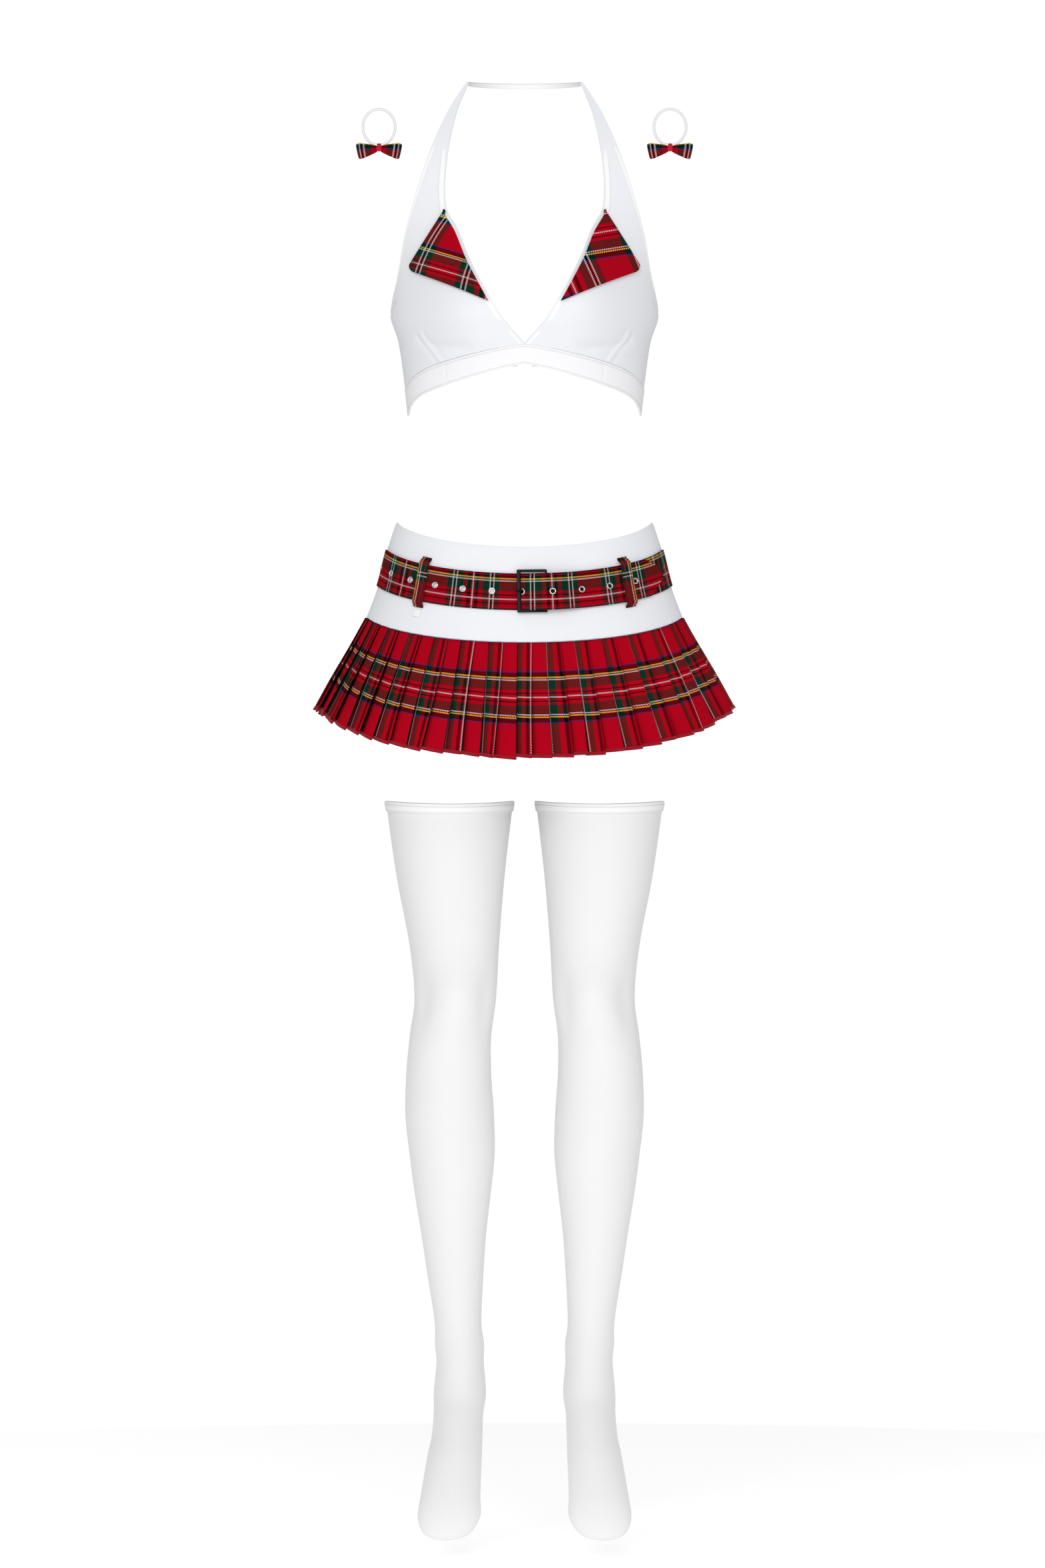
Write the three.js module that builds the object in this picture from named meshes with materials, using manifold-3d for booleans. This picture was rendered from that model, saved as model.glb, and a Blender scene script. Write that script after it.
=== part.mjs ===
// A pleated two-piece cheer uniform in tartan and white: halter top, belted skirt, thigh-high
// stockings and a pair of hair ties, each in the place it takes on its wearer.
// Millimetres, +Z up, the front faces -Y, +X to the right of someone looking at the front.
// The origin is the middle of the wearer's waist, behind the buckle.
import * as THREE from "three";
import { LoftGeometry } from "three/addons/geometries/LoftGeometry.js";
import { mergeGeometries, mergeVertices } from "three/addons/utils/BufferGeometryUtils.js";
import Module from "manifold-3d";

const wasm = await Module();
wasm.setup();

// ---- Driving dimensions -------------------------------------------------------------------

const gap = 0.3; // between pieces that touch
const knit = 1.6; // wall of the top, the yoke and their bindings
const webbing = 1.2; // belt strap
const twill = 1.8; // lapels, belt loops and pleated cloth with its lining

const bust = { width: 288, depth: 196, level: 303 };
const cup = { rise: 30, apart: 132, level: 312, wide: 42, tall: 45 }; // a soft swelling on each side
const underbust = { width: 250, depth: 176, level: 196 };
const neck = { width: 121, level: 556.5, strap: 6, strapTip: 4, depth: 72, lift: 4 };
const band = {
  height: 21,
  centreLevel: 247,
  sideTop: 224,
  backHeight: 20,
  backLevel: 255,
  backGap: 16,
};
const bandFall = { gentle: 30, low: 36 }; // how far its edges have fallen before they turn down at the side
const sideSeam = { top: 300, bottom: 196 };
const binding = { neckline: 8, armhole: 7 };
const lapel = { top: 417, from: 0.475, to: 0.17, corner: [124, 353.5], edgeInset: 1.5 };
const clasp = { height: 16, wire: 2.2 };

const waist = { width: 279, depth: 188 };
const hip = { width: 343, depth: 232 };
const hem = { width: 450, depth: 300 };
const hipBack = 4; // the hips sit this far back of the origin
const yoke = { top: 80, seam: -23, dip: 29 };
const skirt = { hemLevel: -121, dip: 55, backDip: 50, pleats: 60, pleatDepth: 4, wall: 2.4 };
const elastic = { height: 10, thickness: 1 };

const belt = { height: 39.4, level: 31, stand: 0.9, tip: 146, tipTaper: 14, tipHeight: 12 };
const buckle = {
  left: -8.3,
  right: 24.2,
  height: belt.height + 7.6,
  bar: 3.8,
  sideBar: 2.3,
  hingeBar: 2.2,
  thickness: 2,
  stand: webbing + 2.5, // under face of the frame above the yoke, at its middle
};
const prong = { wire: 1.5, width: 2.4, eyeWall: 0.9, reach: 1.8 };
const eyelet = { outer: 7.4, hole: 4.5, pitch: 32, first: -2.9, left: 6, right: 4, lip: 0.4 };
const loop = { width: 12.5, height: belt.height + 14.6, front: 45.3, back: 140, level: 31.5 };
const tab = { width: 9.6, height: 9, thickness: 1, drop: 1 };

const stocking = { top: -222.5, toe: -1021.7, wall: 1.5, welt: 11, weltProud: 1.2, apart: 163 };
const leg = { thigh: 138.4, knee: 88.6, calf: 96.4, ankle: 49.6, ball: 67 };

const hairTie = { x: 158, level: 509, width: 38, height: 42, cord: 3 };
const bow = { span: 52, height: 17, neck: 6.5, puff: 7, ribbon: 1, knot: 5.4, knotHeight: 11, knotDepth: 8 };

// ---- Colours ------------------------------------------------------------------------------

const paint = (color, roughness = 0.85, metalness = 0) =>
  new THREE.MeshStandardMaterial({ color, roughness, metalness });
const white = 0xf1f2f6;
const bright = 0xf8f8fa;
const hosiery = 0xf2f2f2;
const tartan = 0xb5122a;
const blackMetal = 0x141414;
const silver = 0xc4c6ca;
const scarlet = 0xc4102a;

// ---- Helpers ------------------------------------------------------------------------------

const uniform = new THREE.Group();

// A closed geometry with its shared vertices merged and its faces turned out.
function faceOut(geometry) {
  const bare = new THREE.BufferGeometry().copy(geometry);
  bare.deleteAttribute("normal");
  bare.deleteAttribute("uv");
  const merged = mergeVertices(bare, 1e-3);
  const { position } = merged.attributes;
  const index = Array.from(merged.index.array);
  const [a, b, c] = [0, 1, 2].map(() => new THREE.Vector3());
  let volume = 0;
  const kept = [];
  for (let i = 0; i < index.length; i += 3) {
    const corners = index.slice(i, i + 3);
    if (new Set(corners).size < 3) continue;
    a.fromBufferAttribute(position, corners[0]);
    b.fromBufferAttribute(position, corners[1]);
    c.fromBufferAttribute(position, corners[2]);
    volume += a.dot(b.cross(c));
    kept.push(corners);
  }
  merged.setIndex(kept.map((corners) => (volume < 0 ? corners.reverse() : corners)).flat());
  merged.computeVertexNormals();
  return merged;
}

function solid(geometry) {
  const bare = faceOut(geometry);
  return new wasm.Manifold(
    new wasm.Mesh({
      numProp: 3,
      vertProperties: bare.attributes.position.array,
      triVerts: new Uint32Array(bare.index.array),
    }),
  );
}

function fromSolid(made) {
  const mesh = made.getMesh();
  const geometry = new THREE.BufferGeometry();
  geometry.setAttribute("position", new THREE.Float32BufferAttribute(mesh.vertProperties, 3));
  geometry.setIndex(Array.from(mesh.triVerts));
  geometry.computeVertexNormals();
  return geometry;
}

function add(name, geometry, material, parent = uniform) {
  const mesh = new THREE.Mesh(faceOut(geometry), material);
  mesh.name = name;
  parent.add(mesh);
  return mesh;
}

const steps = (count, from = 0, to = 1) =>
  Array.from({ length: count + 1 }, (_, i) => from + ((to - from) * i) / count);

// A smooth curve through rows of [key, value, value...]; it gives the values at a key.
function smoothRows(rows) {
  const sorted = [...rows].sort((p, q) => p[0] - q[0]);
  return (key) => {
    const last = sorted.length - 1;
    let i = 0;
    while (i < last - 1 && key > sorted[i + 1][0]) i += 1;
    const [p, q] = [sorted[i], sorted[i + 1]];
    const [before, after] = [sorted[Math.max(i - 1, 0)], sorted[Math.min(i + 2, last)]];
    const span = q[0] - p[0];
    const t = THREE.MathUtils.clamp((key - p[0]) / span, 0, 1);
    return p.slice(1).map((value, k) => {
      const end = q[k + 1];
      const slopeIn = ((end - before[k + 1]) / (q[0] - before[0])) * span;
      const slopeOut = ((after[k + 1] - value) / (after[0] - p[0])) * span;
      return (
        value * (2 * t ** 3 - 3 * t ** 2 + 1) +
        slopeIn * (t ** 3 - 2 * t ** 2 + t) +
        end * (3 * t ** 2 - 2 * t ** 3) +
        slopeOut * (t ** 3 - t ** 2)
      );
    });
  };
}

// A strip of cloth: at(u, v, out) is a point on it, `out` above the surface under it.
// Its two ends are closed by a strip each, unless it goes right round and joins up with itself.
function cloth({ at, inner, outer, along, across, closed = false }) {
  const row = (u, out) => steps(across).map((v) => at(u, v, out));
  const wall = new LoftGeometry(steps(along).map((u) => [...row(u, outer), ...row(u, inner).reverse()]));
  if (closed) return wall;
  const start = new LoftGeometry([row(0, inner), row(0, outer)], { closed: false });
  const end = new LoftGeometry([row(1, outer), row(1, inner)], { closed: false });
  return mergeGeometries([wall, start, end]);
}

const between = (p, q, t) => p + (q - p) * t;

// ---- The wearer's shape -------------------------------------------------------------------

// Half width, half depth and the middle from front to back, at each height of the chest.
const chestRow = smoothRows([
  [underbust.level - 20, underbust.width / 2 - 1, underbust.depth / 2 - 2, 8],
  [underbust.level, underbust.width / 2, underbust.depth / 2, 8],
  [underbust.level + 51, underbust.width / 2 + 6, underbust.depth / 2 + 4, 6],
  [bust.level - 25, bust.width / 2 - 8, bust.depth / 2 - 2, 5],
  [bust.level, bust.width / 2, bust.depth / 2, 4],
  [bust.level + 47, bust.width / 2 + 3, bust.depth / 2 - 3, 4],
  [lapel.top, bust.width / 2 + 14, bust.depth / 2 - 16, 2],
  [neck.level - 76, bust.width / 2 + 21, bust.depth / 2 - 32, 4],
  [neck.level, bust.width / 2 + 26, bust.depth / 2 - 68, 19],
]);

// A point on the front of the chest at x and height z, `out` in front of it.
function chestFront(x, z, out) {
  const [halfWidth, halfDepth, middle] = chestRow(z);
  const share = THREE.MathUtils.clamp(x / halfWidth, -1, 1);
  const round = Math.sqrt(1 - share ** 2);
  const cups = [-1, 1]
    .map((side) => Math.hypot((x - (side * cup.apart) / 2) / cup.wide, (z - cup.level) / cup.tall))
    .reduce((sum, far) => sum + Math.exp(-(far ** 2) / 2), 0);
  const normal = new THREE.Vector2(share / halfWidth, round / halfDepth).normalize();
  return new THREE.Vector3(
    x + normal.x * out,
    middle - round * (halfDepth + cup.rise * cups) - normal.y * out,
    z,
  );
}

// A point round the chest at an angle from the front, `out` away from it.
function chestRound(angle, z, out) {
  const [halfWidth, halfDepth, middle] = chestRow(z);
  return new THREE.Vector3(
    (halfWidth + out) * Math.sin(angle),
    middle - (halfDepth + out) * Math.cos(angle),
    z,
  );
}

// Half width and half depth from the waist to the hem, by the height at the wearer's side.
const hipRow = smoothRows([
  [yoke.top, waist.width / 2, waist.depth / 2],
  [belt.level + 20, between(waist.width, hip.width, 0.29) / 2, between(waist.depth, hip.depth, 0.25) / 2],
  [belt.level - 20, between(waist.width, hip.width, 0.61) / 2, between(waist.depth, hip.depth, 0.6) / 2],
  [yoke.seam, hip.width / 2, hip.depth / 2],
]);

// Edges dip at the front and back: 0 at the side and 1 in the middle, with a soft turn between.
function dipShape(angle) {
  const soft = 0.25;
  return (Math.hypot(Math.cos(angle), soft) - soft) / (Math.hypot(1, soft) - soft);
}

// A point round the hips, where `level` is the height at the wearer's side.
function hipRound(angle, level, out) {
  let [halfWidth, halfDepth] = hipRow(Math.max(level, yoke.seam));
  let { dip } = yoke;
  if (level < yoke.seam) {
    const down = (yoke.seam - level) / (yoke.seam - skirt.hemLevel);
    halfWidth = between(hip.width, hem.width, down) / 2;
    halfDepth = between(hip.depth, hem.depth, down) / 2;
    dip = between(yoke.dip, Math.cos(angle) > 0 ? skirt.dip : skirt.backDip, down);
  }
  const normal = new THREE.Vector2(Math.sin(angle) / halfWidth, Math.cos(angle) / halfDepth);
  normal.normalize();
  return new THREE.Vector3(
    halfWidth * Math.sin(angle) + normal.x * out,
    hipBack - halfDepth * Math.cos(angle) - normal.y * out,
    level - dip * dipShape(angle),
  );
}

// ---- Halter top ---------------------------------------------------------------------------

const topWhite = paint(white, 0.8);
const bindingWhite = paint(bright, 0.75);
const plaid = paint(tartan, 0.9);
const metal = paint(silver, 0.3, 1);

// The band's edges at a share of the way from the middle of the front to the side.
const bandHigh = band.centreLevel + band.height;
const bandTop = (share) =>
  bandHigh - bandFall.gentle * share ** 1.3 - (bandHigh - bandFall.gentle - band.sideTop) * share ** 12;
const bandBottom = (share) =>
  band.centreLevel -
  bandFall.low * share ** 1.2 -
  (band.centreLevel - bandFall.low - underbust.level) * share ** 20;

// The side seam ends at this share of the way up the edges, and this far round from the front.
const sideShare = 4 / 15;
const sideEnd = Math.PI / 2 - 0.004;

// Edges of one half of the front, as [share up the strap, x, height].
const necklineTop = 84.6; // the neckline is widest where the lapel starts
const necklineEdge = smoothRows([
  [0, 0, bandTop(0) + gap],
  [0.12, 27, 300],
  [sideShare, 57.6, 356],
  [0.38, 72, 392],
  [0.48, necklineTop, lapel.top],
  [0.7, 84, 467],
  [0.88, 74, 520],
  [1, neck.width / 2, neck.level],
]);
const armholeEdge = smoothRows([
  [0, underbust.width / 2 + 4, bandTop(1) + gap],
  [0.12, 134, 262],
  [sideShare, bust.width / 2, bust.level],
  [0.38, 135, 350],
  [0.48, 128, 391],
  [0.7, 107, 465],
  [0.88, 84, 521],
  [1, neck.width / 2 + 2, neck.level + 1],
]);

for (const [name, side] of [
  ["left", -1],
  ["right", 1],
]) {
  const top = new THREE.Group();
  uniform.add(top);

  // A point on one half of the front: u runs up to the neck, v from the neckline to the armhole.
  const front = (u, v, out) => {
    const [innerX, innerZ] = necklineEdge(u);
    const [outerX, outerZ] = armholeEdge(u);
    const straight = between(innerZ, outerZ, v);
    const [halfWidth] = chestRow(straight);
    const from = Math.asin(Math.max(innerX, gap / 2) / halfWidth);
    const to = u < sideShare ? sideEnd : Math.min(Math.asin(Math.min(outerX / halfWidth, 1)), sideEnd);
    const turn = Math.sin(between(from, to, v));
    const overBand = bandTop(Math.sin(v * sideEnd)) + gap - between(necklineEdge(0)[1], armholeEdge(0)[1], v);
    return chestFront(side * halfWidth * turn, straight + overBand * Math.max(0, 1 - u / 0.25), out);
  };
  add(`${name}_cup`, cloth({ at: front, inner: 0, outer: knit, along: 15, across: 14 }), topWhite, top);

  // Bindings lie on the edges of the front, one knit wall further out.
  const acrossAt = (u) => {
    const middle = front(u, 0.5, 0);
    return front(u, 0, 0).distanceTo(middle) + middle.distanceTo(front(u, 1, 0));
  };
  const share = (u, width) => Math.min(width / acrossAt(u), 0.46);
  const neckStrip = (u, v, out) => front(u, v * share(u, binding.neckline), out);
  const foot = knit + gap;
  const neckBinding = cloth({ at: neckStrip, inner: foot, outer: foot + 1, along: 30, across: 2 });
  add(`${name}_neckline_binding`, neckBinding, bindingWhite, top);
  const armStrip = (u, v, out) => front(between(sideShare, 1, u), 1 - v * share(u, binding.armhole), out);
  const armBinding = cloth({ at: armStrip, inner: foot, outer: foot + 1, along: 11, across: 1 });
  add(`${name}_armhole_binding`, armBinding, bindingWhite, top);

  // The lapel hangs from the neckline and stands just proud of the bindings.
  const flap = (u, v, out) => {
    const [edgeX, edgeZ] = necklineEdge(between(lapel.from, lapel.to, u));
    const x = between(edgeX, between(necklineTop, lapel.corner[0], u), v);
    const z = between(edgeZ, between(lapel.top, lapel.corner[1], u), v);
    return chestFront(side * (x + lapel.edgeInset * (1 - v)), z, out);
  };
  const flapFoot = foot + 1 + 2 * gap;
  const flapCloth = cloth({ at: flap, inner: flapFoot, outer: flapFoot + twill, along: 8, across: 5 });
  add(`${name}_lapel`, flapCloth, plaid, top);

  // The wing goes from the side seam to the middle of the back.
  const backEnd = Math.PI - band.backGap / 2 / chestRow(band.backLevel)[0];
  const wing = (u, v, out) => {
    const angle = side * between(Math.PI - sideEnd, backEnd, u);
    const fall = Math.sin((u * Math.PI) / 2);
    const low = between(sideSeam.bottom + gap, band.backLevel, fall);
    const high = between(sideSeam.top, band.backLevel + band.backHeight, fall);
    return chestRound(angle, between(high, low, v), out);
  };
  add(`${name}_back_wing`, cloth({ at: wing, inner: 0, outer: knit, along: 12, across: 4 }), topWhite, top);
}

const bandFront = (u, v, out) => {
  const turn = Math.sin(between(-sideEnd, sideEnd, u));
  const share = Math.abs(turn);
  const z = between(bandTop(share) - gap, bandBottom(share), v);
  return chestFront(chestRow(z)[0] * turn, z, out);
};
add(
  "underbust_band",
  cloth({ at: bandFront, inner: 0, outer: knit + 0.6, along: 28, across: 3 }),
  bindingWhite,
);

// The strap goes behind the neck from one tip of the front to the other.
const neckPath = (u) => {
  const angle = between(-Math.PI / 2, Math.PI / 2, u);
  const tip = chestFront(neck.width / 2, neck.level, 0);
  return [Math.sin(angle) * (neck.width / 2), tip.y + 2 + gap + Math.cos(angle) * neck.depth];
};
const neckStrap = (u, v, out) => {
  const [x, y] = neckPath(u);
  const angle = between(-Math.PI / 2, Math.PI / 2, u);
  const height = between(neck.strapTip, neck.strap, Math.cos(angle) ** 0.5);
  const lift = neck.lift * Math.cos(angle);
  return new THREE.Vector3(
    x + Math.sin(angle) * out,
    y + Math.cos(angle) * out,
    neck.level - 1 + lift + height * (0.5 - v),
  );
};
add("neck_strap", cloth({ at: neckStrap, inner: 0, outer: knit, along: 16, across: 1 }), bindingWhite);

// A flat hook and its eye join the two wings at the back.
const claspAt = chestRound(Math.PI, band.backLevel + band.backHeight / 2, 0);
for (const [name, side] of [
  ["back_hook", -1],
  ["back_eye", 1],
]) {
  const plate = new THREE.Shape();
  const reach = band.backGap / 2;
  plate.moveTo(gap, -clasp.height / 2);
  plate.lineTo(reach - gap - 0.6, -clasp.height / 2);
  plate.lineTo(reach - gap - 0.6, clasp.height / 2);
  plate.lineTo(gap, clasp.height / 2);
  plate.closePath();
  const slot = new THREE.Path();
  slot.moveTo(clasp.wire, -clasp.height / 2 + clasp.wire);
  slot.lineTo(clasp.wire, clasp.height / 2 - clasp.wire);
  slot.lineTo(reach - clasp.wire, clasp.height / 2 - clasp.wire);
  slot.lineTo(reach - clasp.wire, -clasp.height / 2 + clasp.wire);
  slot.closePath();
  plate.holes.push(slot);
  const wire = new THREE.ExtrudeGeometry(plate, { depth: clasp.wire, bevelEnabled: false });
  const holder = new THREE.Group();
  holder.position.copy(claspAt);
  holder.rotation.set(Math.PI / 2, 0, 0);
  holder.scale.set(side, 1, -1);
  uniform.add(holder);
  add(name, wire, metal, holder);
}

// ---- Skirt --------------------------------------------------------------------------------

const ringOf = (high, low) => (u, v, out) => hipRound(u * 2 * Math.PI, between(high, low, v), out);

add(
  "hip_yoke",
  cloth({ at: ringOf(yoke.top, yoke.seam), inner: -knit, outer: 0, along: 40, across: 9, closed: true }),
  topWhite,
);
add(
  "waist_elastic",
  cloth({
    at: ringOf(yoke.top - 1, yoke.top - 1 - elastic.height),
    inner: -knit - gap - elastic.thickness,
    outer: -knit - gap,
    along: 40,
    across: 1,
    closed: true,
  }),
  bindingWhite,
);

// Knife pleats: each face stands out towards its folded edge and tucks in under the next.
const pleatColumns = 2 * skirt.pleats;
const pleatAt = (u, v, out) => {
  const column = Math.round(u * pleatColumns);
  const onFold = column % 2 === 1;
  const turn = (Math.floor(column / 2) + (onFold ? 0.86 : 0)) / skirt.pleats;
  const level = between(yoke.seam - 3 * gap, skirt.hemLevel, v);
  const stand = onFold ? skirt.pleatDepth : 0;
  return hipRound(turn * 2 * Math.PI, level, out + stand);
};
add(
  "pleated_skirt",
  cloth({ at: pleatAt, inner: -skirt.wall, outer: 0, along: pleatColumns, across: 1, closed: true }),
  plaid,
);

// ---- Belt ---------------------------------------------------------------------------------

const [beltHalfWidth, beltHalfDepth] = hipRow(belt.level);
const frontAngle = (x) => Math.asin(x / beltHalfWidth);
const fullTurn = 2 * Math.PI;
const underStrap = belt.stand + webbing / 2; // middle of a strap that lies on the yoke
const overStrap = underStrap + webbing + gap; // middle of the free end on top of it
const hingeX = buckle.right - buckle.hingeBar / 2;
const hingeOut = buckle.stand + 0.5 + buckle.thickness / 2; // the frame is flat, the waist is round
const overFold = hingeOut + buckle.thickness / 2 + gap + webbing / 2;
const overHinge = overFold + webbing + 0.7;

// The angle at a distance along the belt from the middle of the front, found by small steps.
function walkBelt(distance) {
  const pieces = 200;
  let angle = 0;
  for (let i = 0; i < pieces; i += 1) {
    const pace = Math.hypot(beltHalfWidth * Math.cos(angle), beltHalfDepth * Math.sin(angle));
    angle += distance / pieces / pace;
  }
  return angle;
}

// Middle of the strap as [x, height off the yoke]: the folded end round the hinge bar, and the
// rise up through the buckle and down again on to the free end.
const fold = [
  [hingeX + 24, underStrap + webbing + 0.7],
  [hingeX + 16, overFold - 1.4],
  [hingeX + 8, overFold - 0.3],
  [hingeX, overFold],
  [hingeX - 3, overFold - 0.7],
  [hingeX - 4.2, hingeOut],
  [hingeX - 3, underStrap + 1],
  [hingeX, underStrap + 0.3],
];
const rise = [
  [-34, underStrap],
  [-20, underStrap + 0.1],
  [-9, underStrap + 0.4],
  [-6, underStrap + 0.6],
  [eyelet.first, underStrap + 1.5],
  [0, underStrap + 2.3],
  [6, between(underStrap + 2.3, overHinge, 0.4)],
  [13, between(underStrap + 2.3, overHinge, 0.8)],
  [hingeX - 3, overHinge],
  [hingeX + 6, overHinge],
  [hingeX + 12, overHinge - 0.4],
  [hingeX + 18, overHinge - 1.2],
  [hingeX + 26, overHinge - 2.6],
  [hingeX + 34, overStrap + 1.3],
  [hingeX + 44, overStrap + 0.2],
  [hingeX + 52, overStrap],
];
const riseHeight = smoothRows([[-belt.tip, underStrap], ...rise, [belt.tip, overStrap]]);
const fineStep = 7;
const fine = (from, to) =>
  steps(Math.ceil(Math.abs(to - from) / fineStep), from, to).map((distance) => walkBelt(distance));
const strapPath = [
  ...fold.map(([x, out]) => [frontAngle(x), out]),
  ...steps(34, frontAngle(hingeX + 12), fullTurn - 1.62).map((angle) => [angle, underStrap]),
  ...fine(-205, -42).map((angle) => [fullTurn + angle, underStrap]),
  ...rise.map(([x, out]) => [fullTurn + frontAngle(x), out]),
  ...steps(12, frontAngle(hingeX + 58), frontAngle(belt.tip)).map((angle) => [fullTurn + angle, overStrap]),
];

const strapSections = strapPath.map(([angle, out], i) => {
  const near = strapPath[Math.max(i - 1, 0)];
  const far = strapPath[Math.min(i + 1, strapPath.length - 1)];
  const p = hipRound(near[0], belt.level, near[1]);
  const q = hipRound(far[0], belt.level, far[1]);
  const side = new THREE.Vector3(q.y - p.y, p.x - q.x, 0).normalize().multiplyScalar(webbing / 2);
  const toTip = Math.max(0, belt.tip - beltHalfWidth * Math.sin(angle));
  const pointed = angle > fullTurn + 0.5 ? Math.min(1, toTip / belt.tipTaper) : 1;
  const half = between(belt.tipHeight, belt.height, pointed) / 2;
  const corner = (level, sign) => hipRound(angle, level, out).addScaledVector(side, sign);
  return [
    corner(belt.level + half, 1),
    corner(belt.level - half, 1),
    corner(belt.level - half, -1),
    corner(belt.level + half, -1),
  ];
});

// A frame at an angle round the belt: X along it, Z up it, -Y away from the wearer.
function beltFrame(angle, outAt) {
  const reach = 0.01;
  const left = hipRound(angle - reach, belt.level, outAt(angle - reach));
  const right = hipRound(angle + reach, belt.level, outAt(angle + reach));
  const along = right.sub(left).normalize();
  const up = hipRound(angle, belt.level + 10, 0).sub(hipRound(angle, belt.level - 10, 0)).normalize();
  const back = new THREE.Vector3().crossVectors(up, along).normalize();
  const middle = hipRound(angle, belt.level, outAt(angle));
  return new THREE.Matrix4().makeBasis(along, back, up.crossVectors(along, back)).setPosition(middle);
}

const strapHeight = (angle) => riseHeight(beltHalfWidth * Math.sin(angle))[0];
const eyeletFrames = steps(eyelet.left + eyelet.right, -eyelet.left, eyelet.right).map((count) =>
  beltFrame(walkBelt(eyelet.first + Math.round(count) * eyelet.pitch), strapHeight),
);

const barrel = eyelet.hole / 2 + 0.7;
const holeRadius = barrel + 0.5;
let strap = solid(new LoftGeometry(strapSections, { capStart: true, capEnd: true }));
for (const frame of eyeletFrames) {
  const drill = new THREE.CylinderGeometry(holeRadius, holeRadius, 2.2, 10).applyMatrix4(frame);
  strap = strap.subtract(solid(drill));
}
const buckleMiddle = (buckle.left + buckle.right) / 2;
const foldSlot = new THREE.BoxGeometry(14, overFold, prong.width + 1.4);
foldSlot.translate(-2, -overFold / 2 - 0.2, 0).applyMatrix4(beltFrame(frontAngle(hingeX), () => 1));
strap = strap.subtract(solid(foldSlot));
add("belt_strap", fromSolid(strap), plaid);

eyeletFrames.forEach((frame, i) => {
  const half = webbing / 2;
  const profile = [
    [eyelet.hole / 2, half + gap + eyelet.lip],
    [eyelet.hole / 2, -half - 0.2],
    [barrel, -half - 0.2],
    [barrel, half + gap],
    [eyelet.outer / 2, half + gap],
    [eyelet.outer / 2, half + gap + eyelet.lip],
    [eyelet.hole / 2, half + gap + eyelet.lip],
  ].map(([r, y]) => new THREE.Vector2(r, -y));
  const ring = add(`eyelet_${String(i + 1).padStart(2, "0")}`, new THREE.LatheGeometry(profile, 10), metal);
  ring.applyMatrix4(frame);
});

// ---- Buckle -------------------------------------------------------------------------------

const buckleGroup = new THREE.Group();
buckleGroup.applyMatrix4(beltFrame(frontAngle(buckleMiddle), () => 0));
uniform.add(buckleGroup);

const black = paint(blackMetal, 0.35, 0.8);
const halfSpan = (buckle.right - buckle.left) / 2;
const rectangle = (outline, left, right, half, corner) => {
  outline.moveTo(left + corner, -half);
  outline.lineTo(right - corner, -half);
  outline.quadraticCurveTo(right, -half, right, -half + corner);
  outline.lineTo(right, half - corner);
  outline.quadraticCurveTo(right, half, right - corner, half);
  outline.lineTo(left + corner, half);
  outline.quadraticCurveTo(left, half, left, half - corner);
  outline.lineTo(left, -half + corner);
  outline.quadraticCurveTo(left, -half, left + corner, -half);
  return outline;
};
const frameShape = rectangle(new THREE.Shape(), -halfSpan, halfSpan, buckle.height / 2, 3);
const inHinge = halfSpan - buckle.hingeBar;
const windowHalf = buckle.height / 2 - buckle.sideBar;
frameShape.holes.push(rectangle(new THREE.Path(), -halfSpan + buckle.bar, inHinge, windowHalf, 0.6));
const frameSolid = new THREE.ExtrudeGeometry(frameShape, {
  depth: buckle.thickness,
  bevelEnabled: false,
  curveSegments: 3,
});
const frameMesh = add("buckle_frame", frameSolid, black, buckleGroup);
frameMesh.rotation.x = Math.PI / 2;
frameMesh.position.y = -buckle.stand;

// The prong: an eye round the hinge bar, a low shank, then up through the eyelet on to the bar.
const eyeX = halfSpan - buckle.hingeBar / 2;
const eyeOut = buckle.stand + buckle.thickness / 2;
const eyeHole = Math.hypot(buckle.hingeBar, buckle.thickness) / 2 + 0.25;
const holeX = eyelet.first - buckleMiddle;
const restOut = buckle.stand + buckle.thickness + gap + prong.wire / 2;
const shankCurve = new THREE.SplineCurve(
  [
    [eyeX - eyeHole - prong.eyeWall / 2, eyeOut - 0.6],
    [eyeX - 7, underStrap + 0.8],
    [holeX + 7, underStrap],
    [holeX + 3.4, underStrap - 0.4],
    [holeX + 1.2, underStrap - 0.1],
    [holeX + 0.1, underStrap + 1.1],
    [holeX - 0.3, restOut - 2],
    [holeX - 1.3, restOut - 0.2],
    [-halfSpan + buckle.bar / 2, restOut + 0.2],
    [-halfSpan - prong.reach, restOut - 0.1],
  ].map(([x, out]) => new THREE.Vector2(x, out)),
);
const shankSections = steps(20).map((t) => {
  const at = shankCurve.getPoint(t);
  const tangent = shankCurve.getTangent(t);
  const half = (prong.wire / 2) * (t > 0.97 ? 0.6 : 1);
  const normal = new THREE.Vector2(-tangent.y, tangent.x).multiplyScalar(half);
  return [
    [1, 1],
    [1, -1],
    [-1, -1],
    [-1, 1],
  ].map(
    ([n, w]) => new THREE.Vector3(at.x + normal.x * n, -(at.y + normal.y * n), (prong.width / 2) * w),
  );
});
const eyeRing = new THREE.LatheGeometry(
  [
    [eyeHole, -prong.width / 2],
    [eyeHole + prong.eyeWall, -prong.width / 2],
    [eyeHole + prong.eyeWall, prong.width / 2],
    [eyeHole, prong.width / 2],
    [eyeHole, -prong.width / 2],
  ].map(([r, y]) => new THREE.Vector2(r, y)),
  12,
);
eyeRing.rotateX(Math.PI / 2).translate(eyeX, -eyeOut, 0);
const shank = solid(new LoftGeometry(shankSections, { capStart: true, capEnd: true }));
add("buckle_prong", fromSolid(shank.add(solid(eyeRing))), black, buckleGroup);

// ---- Belt loops and label tab -------------------------------------------------------------

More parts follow.
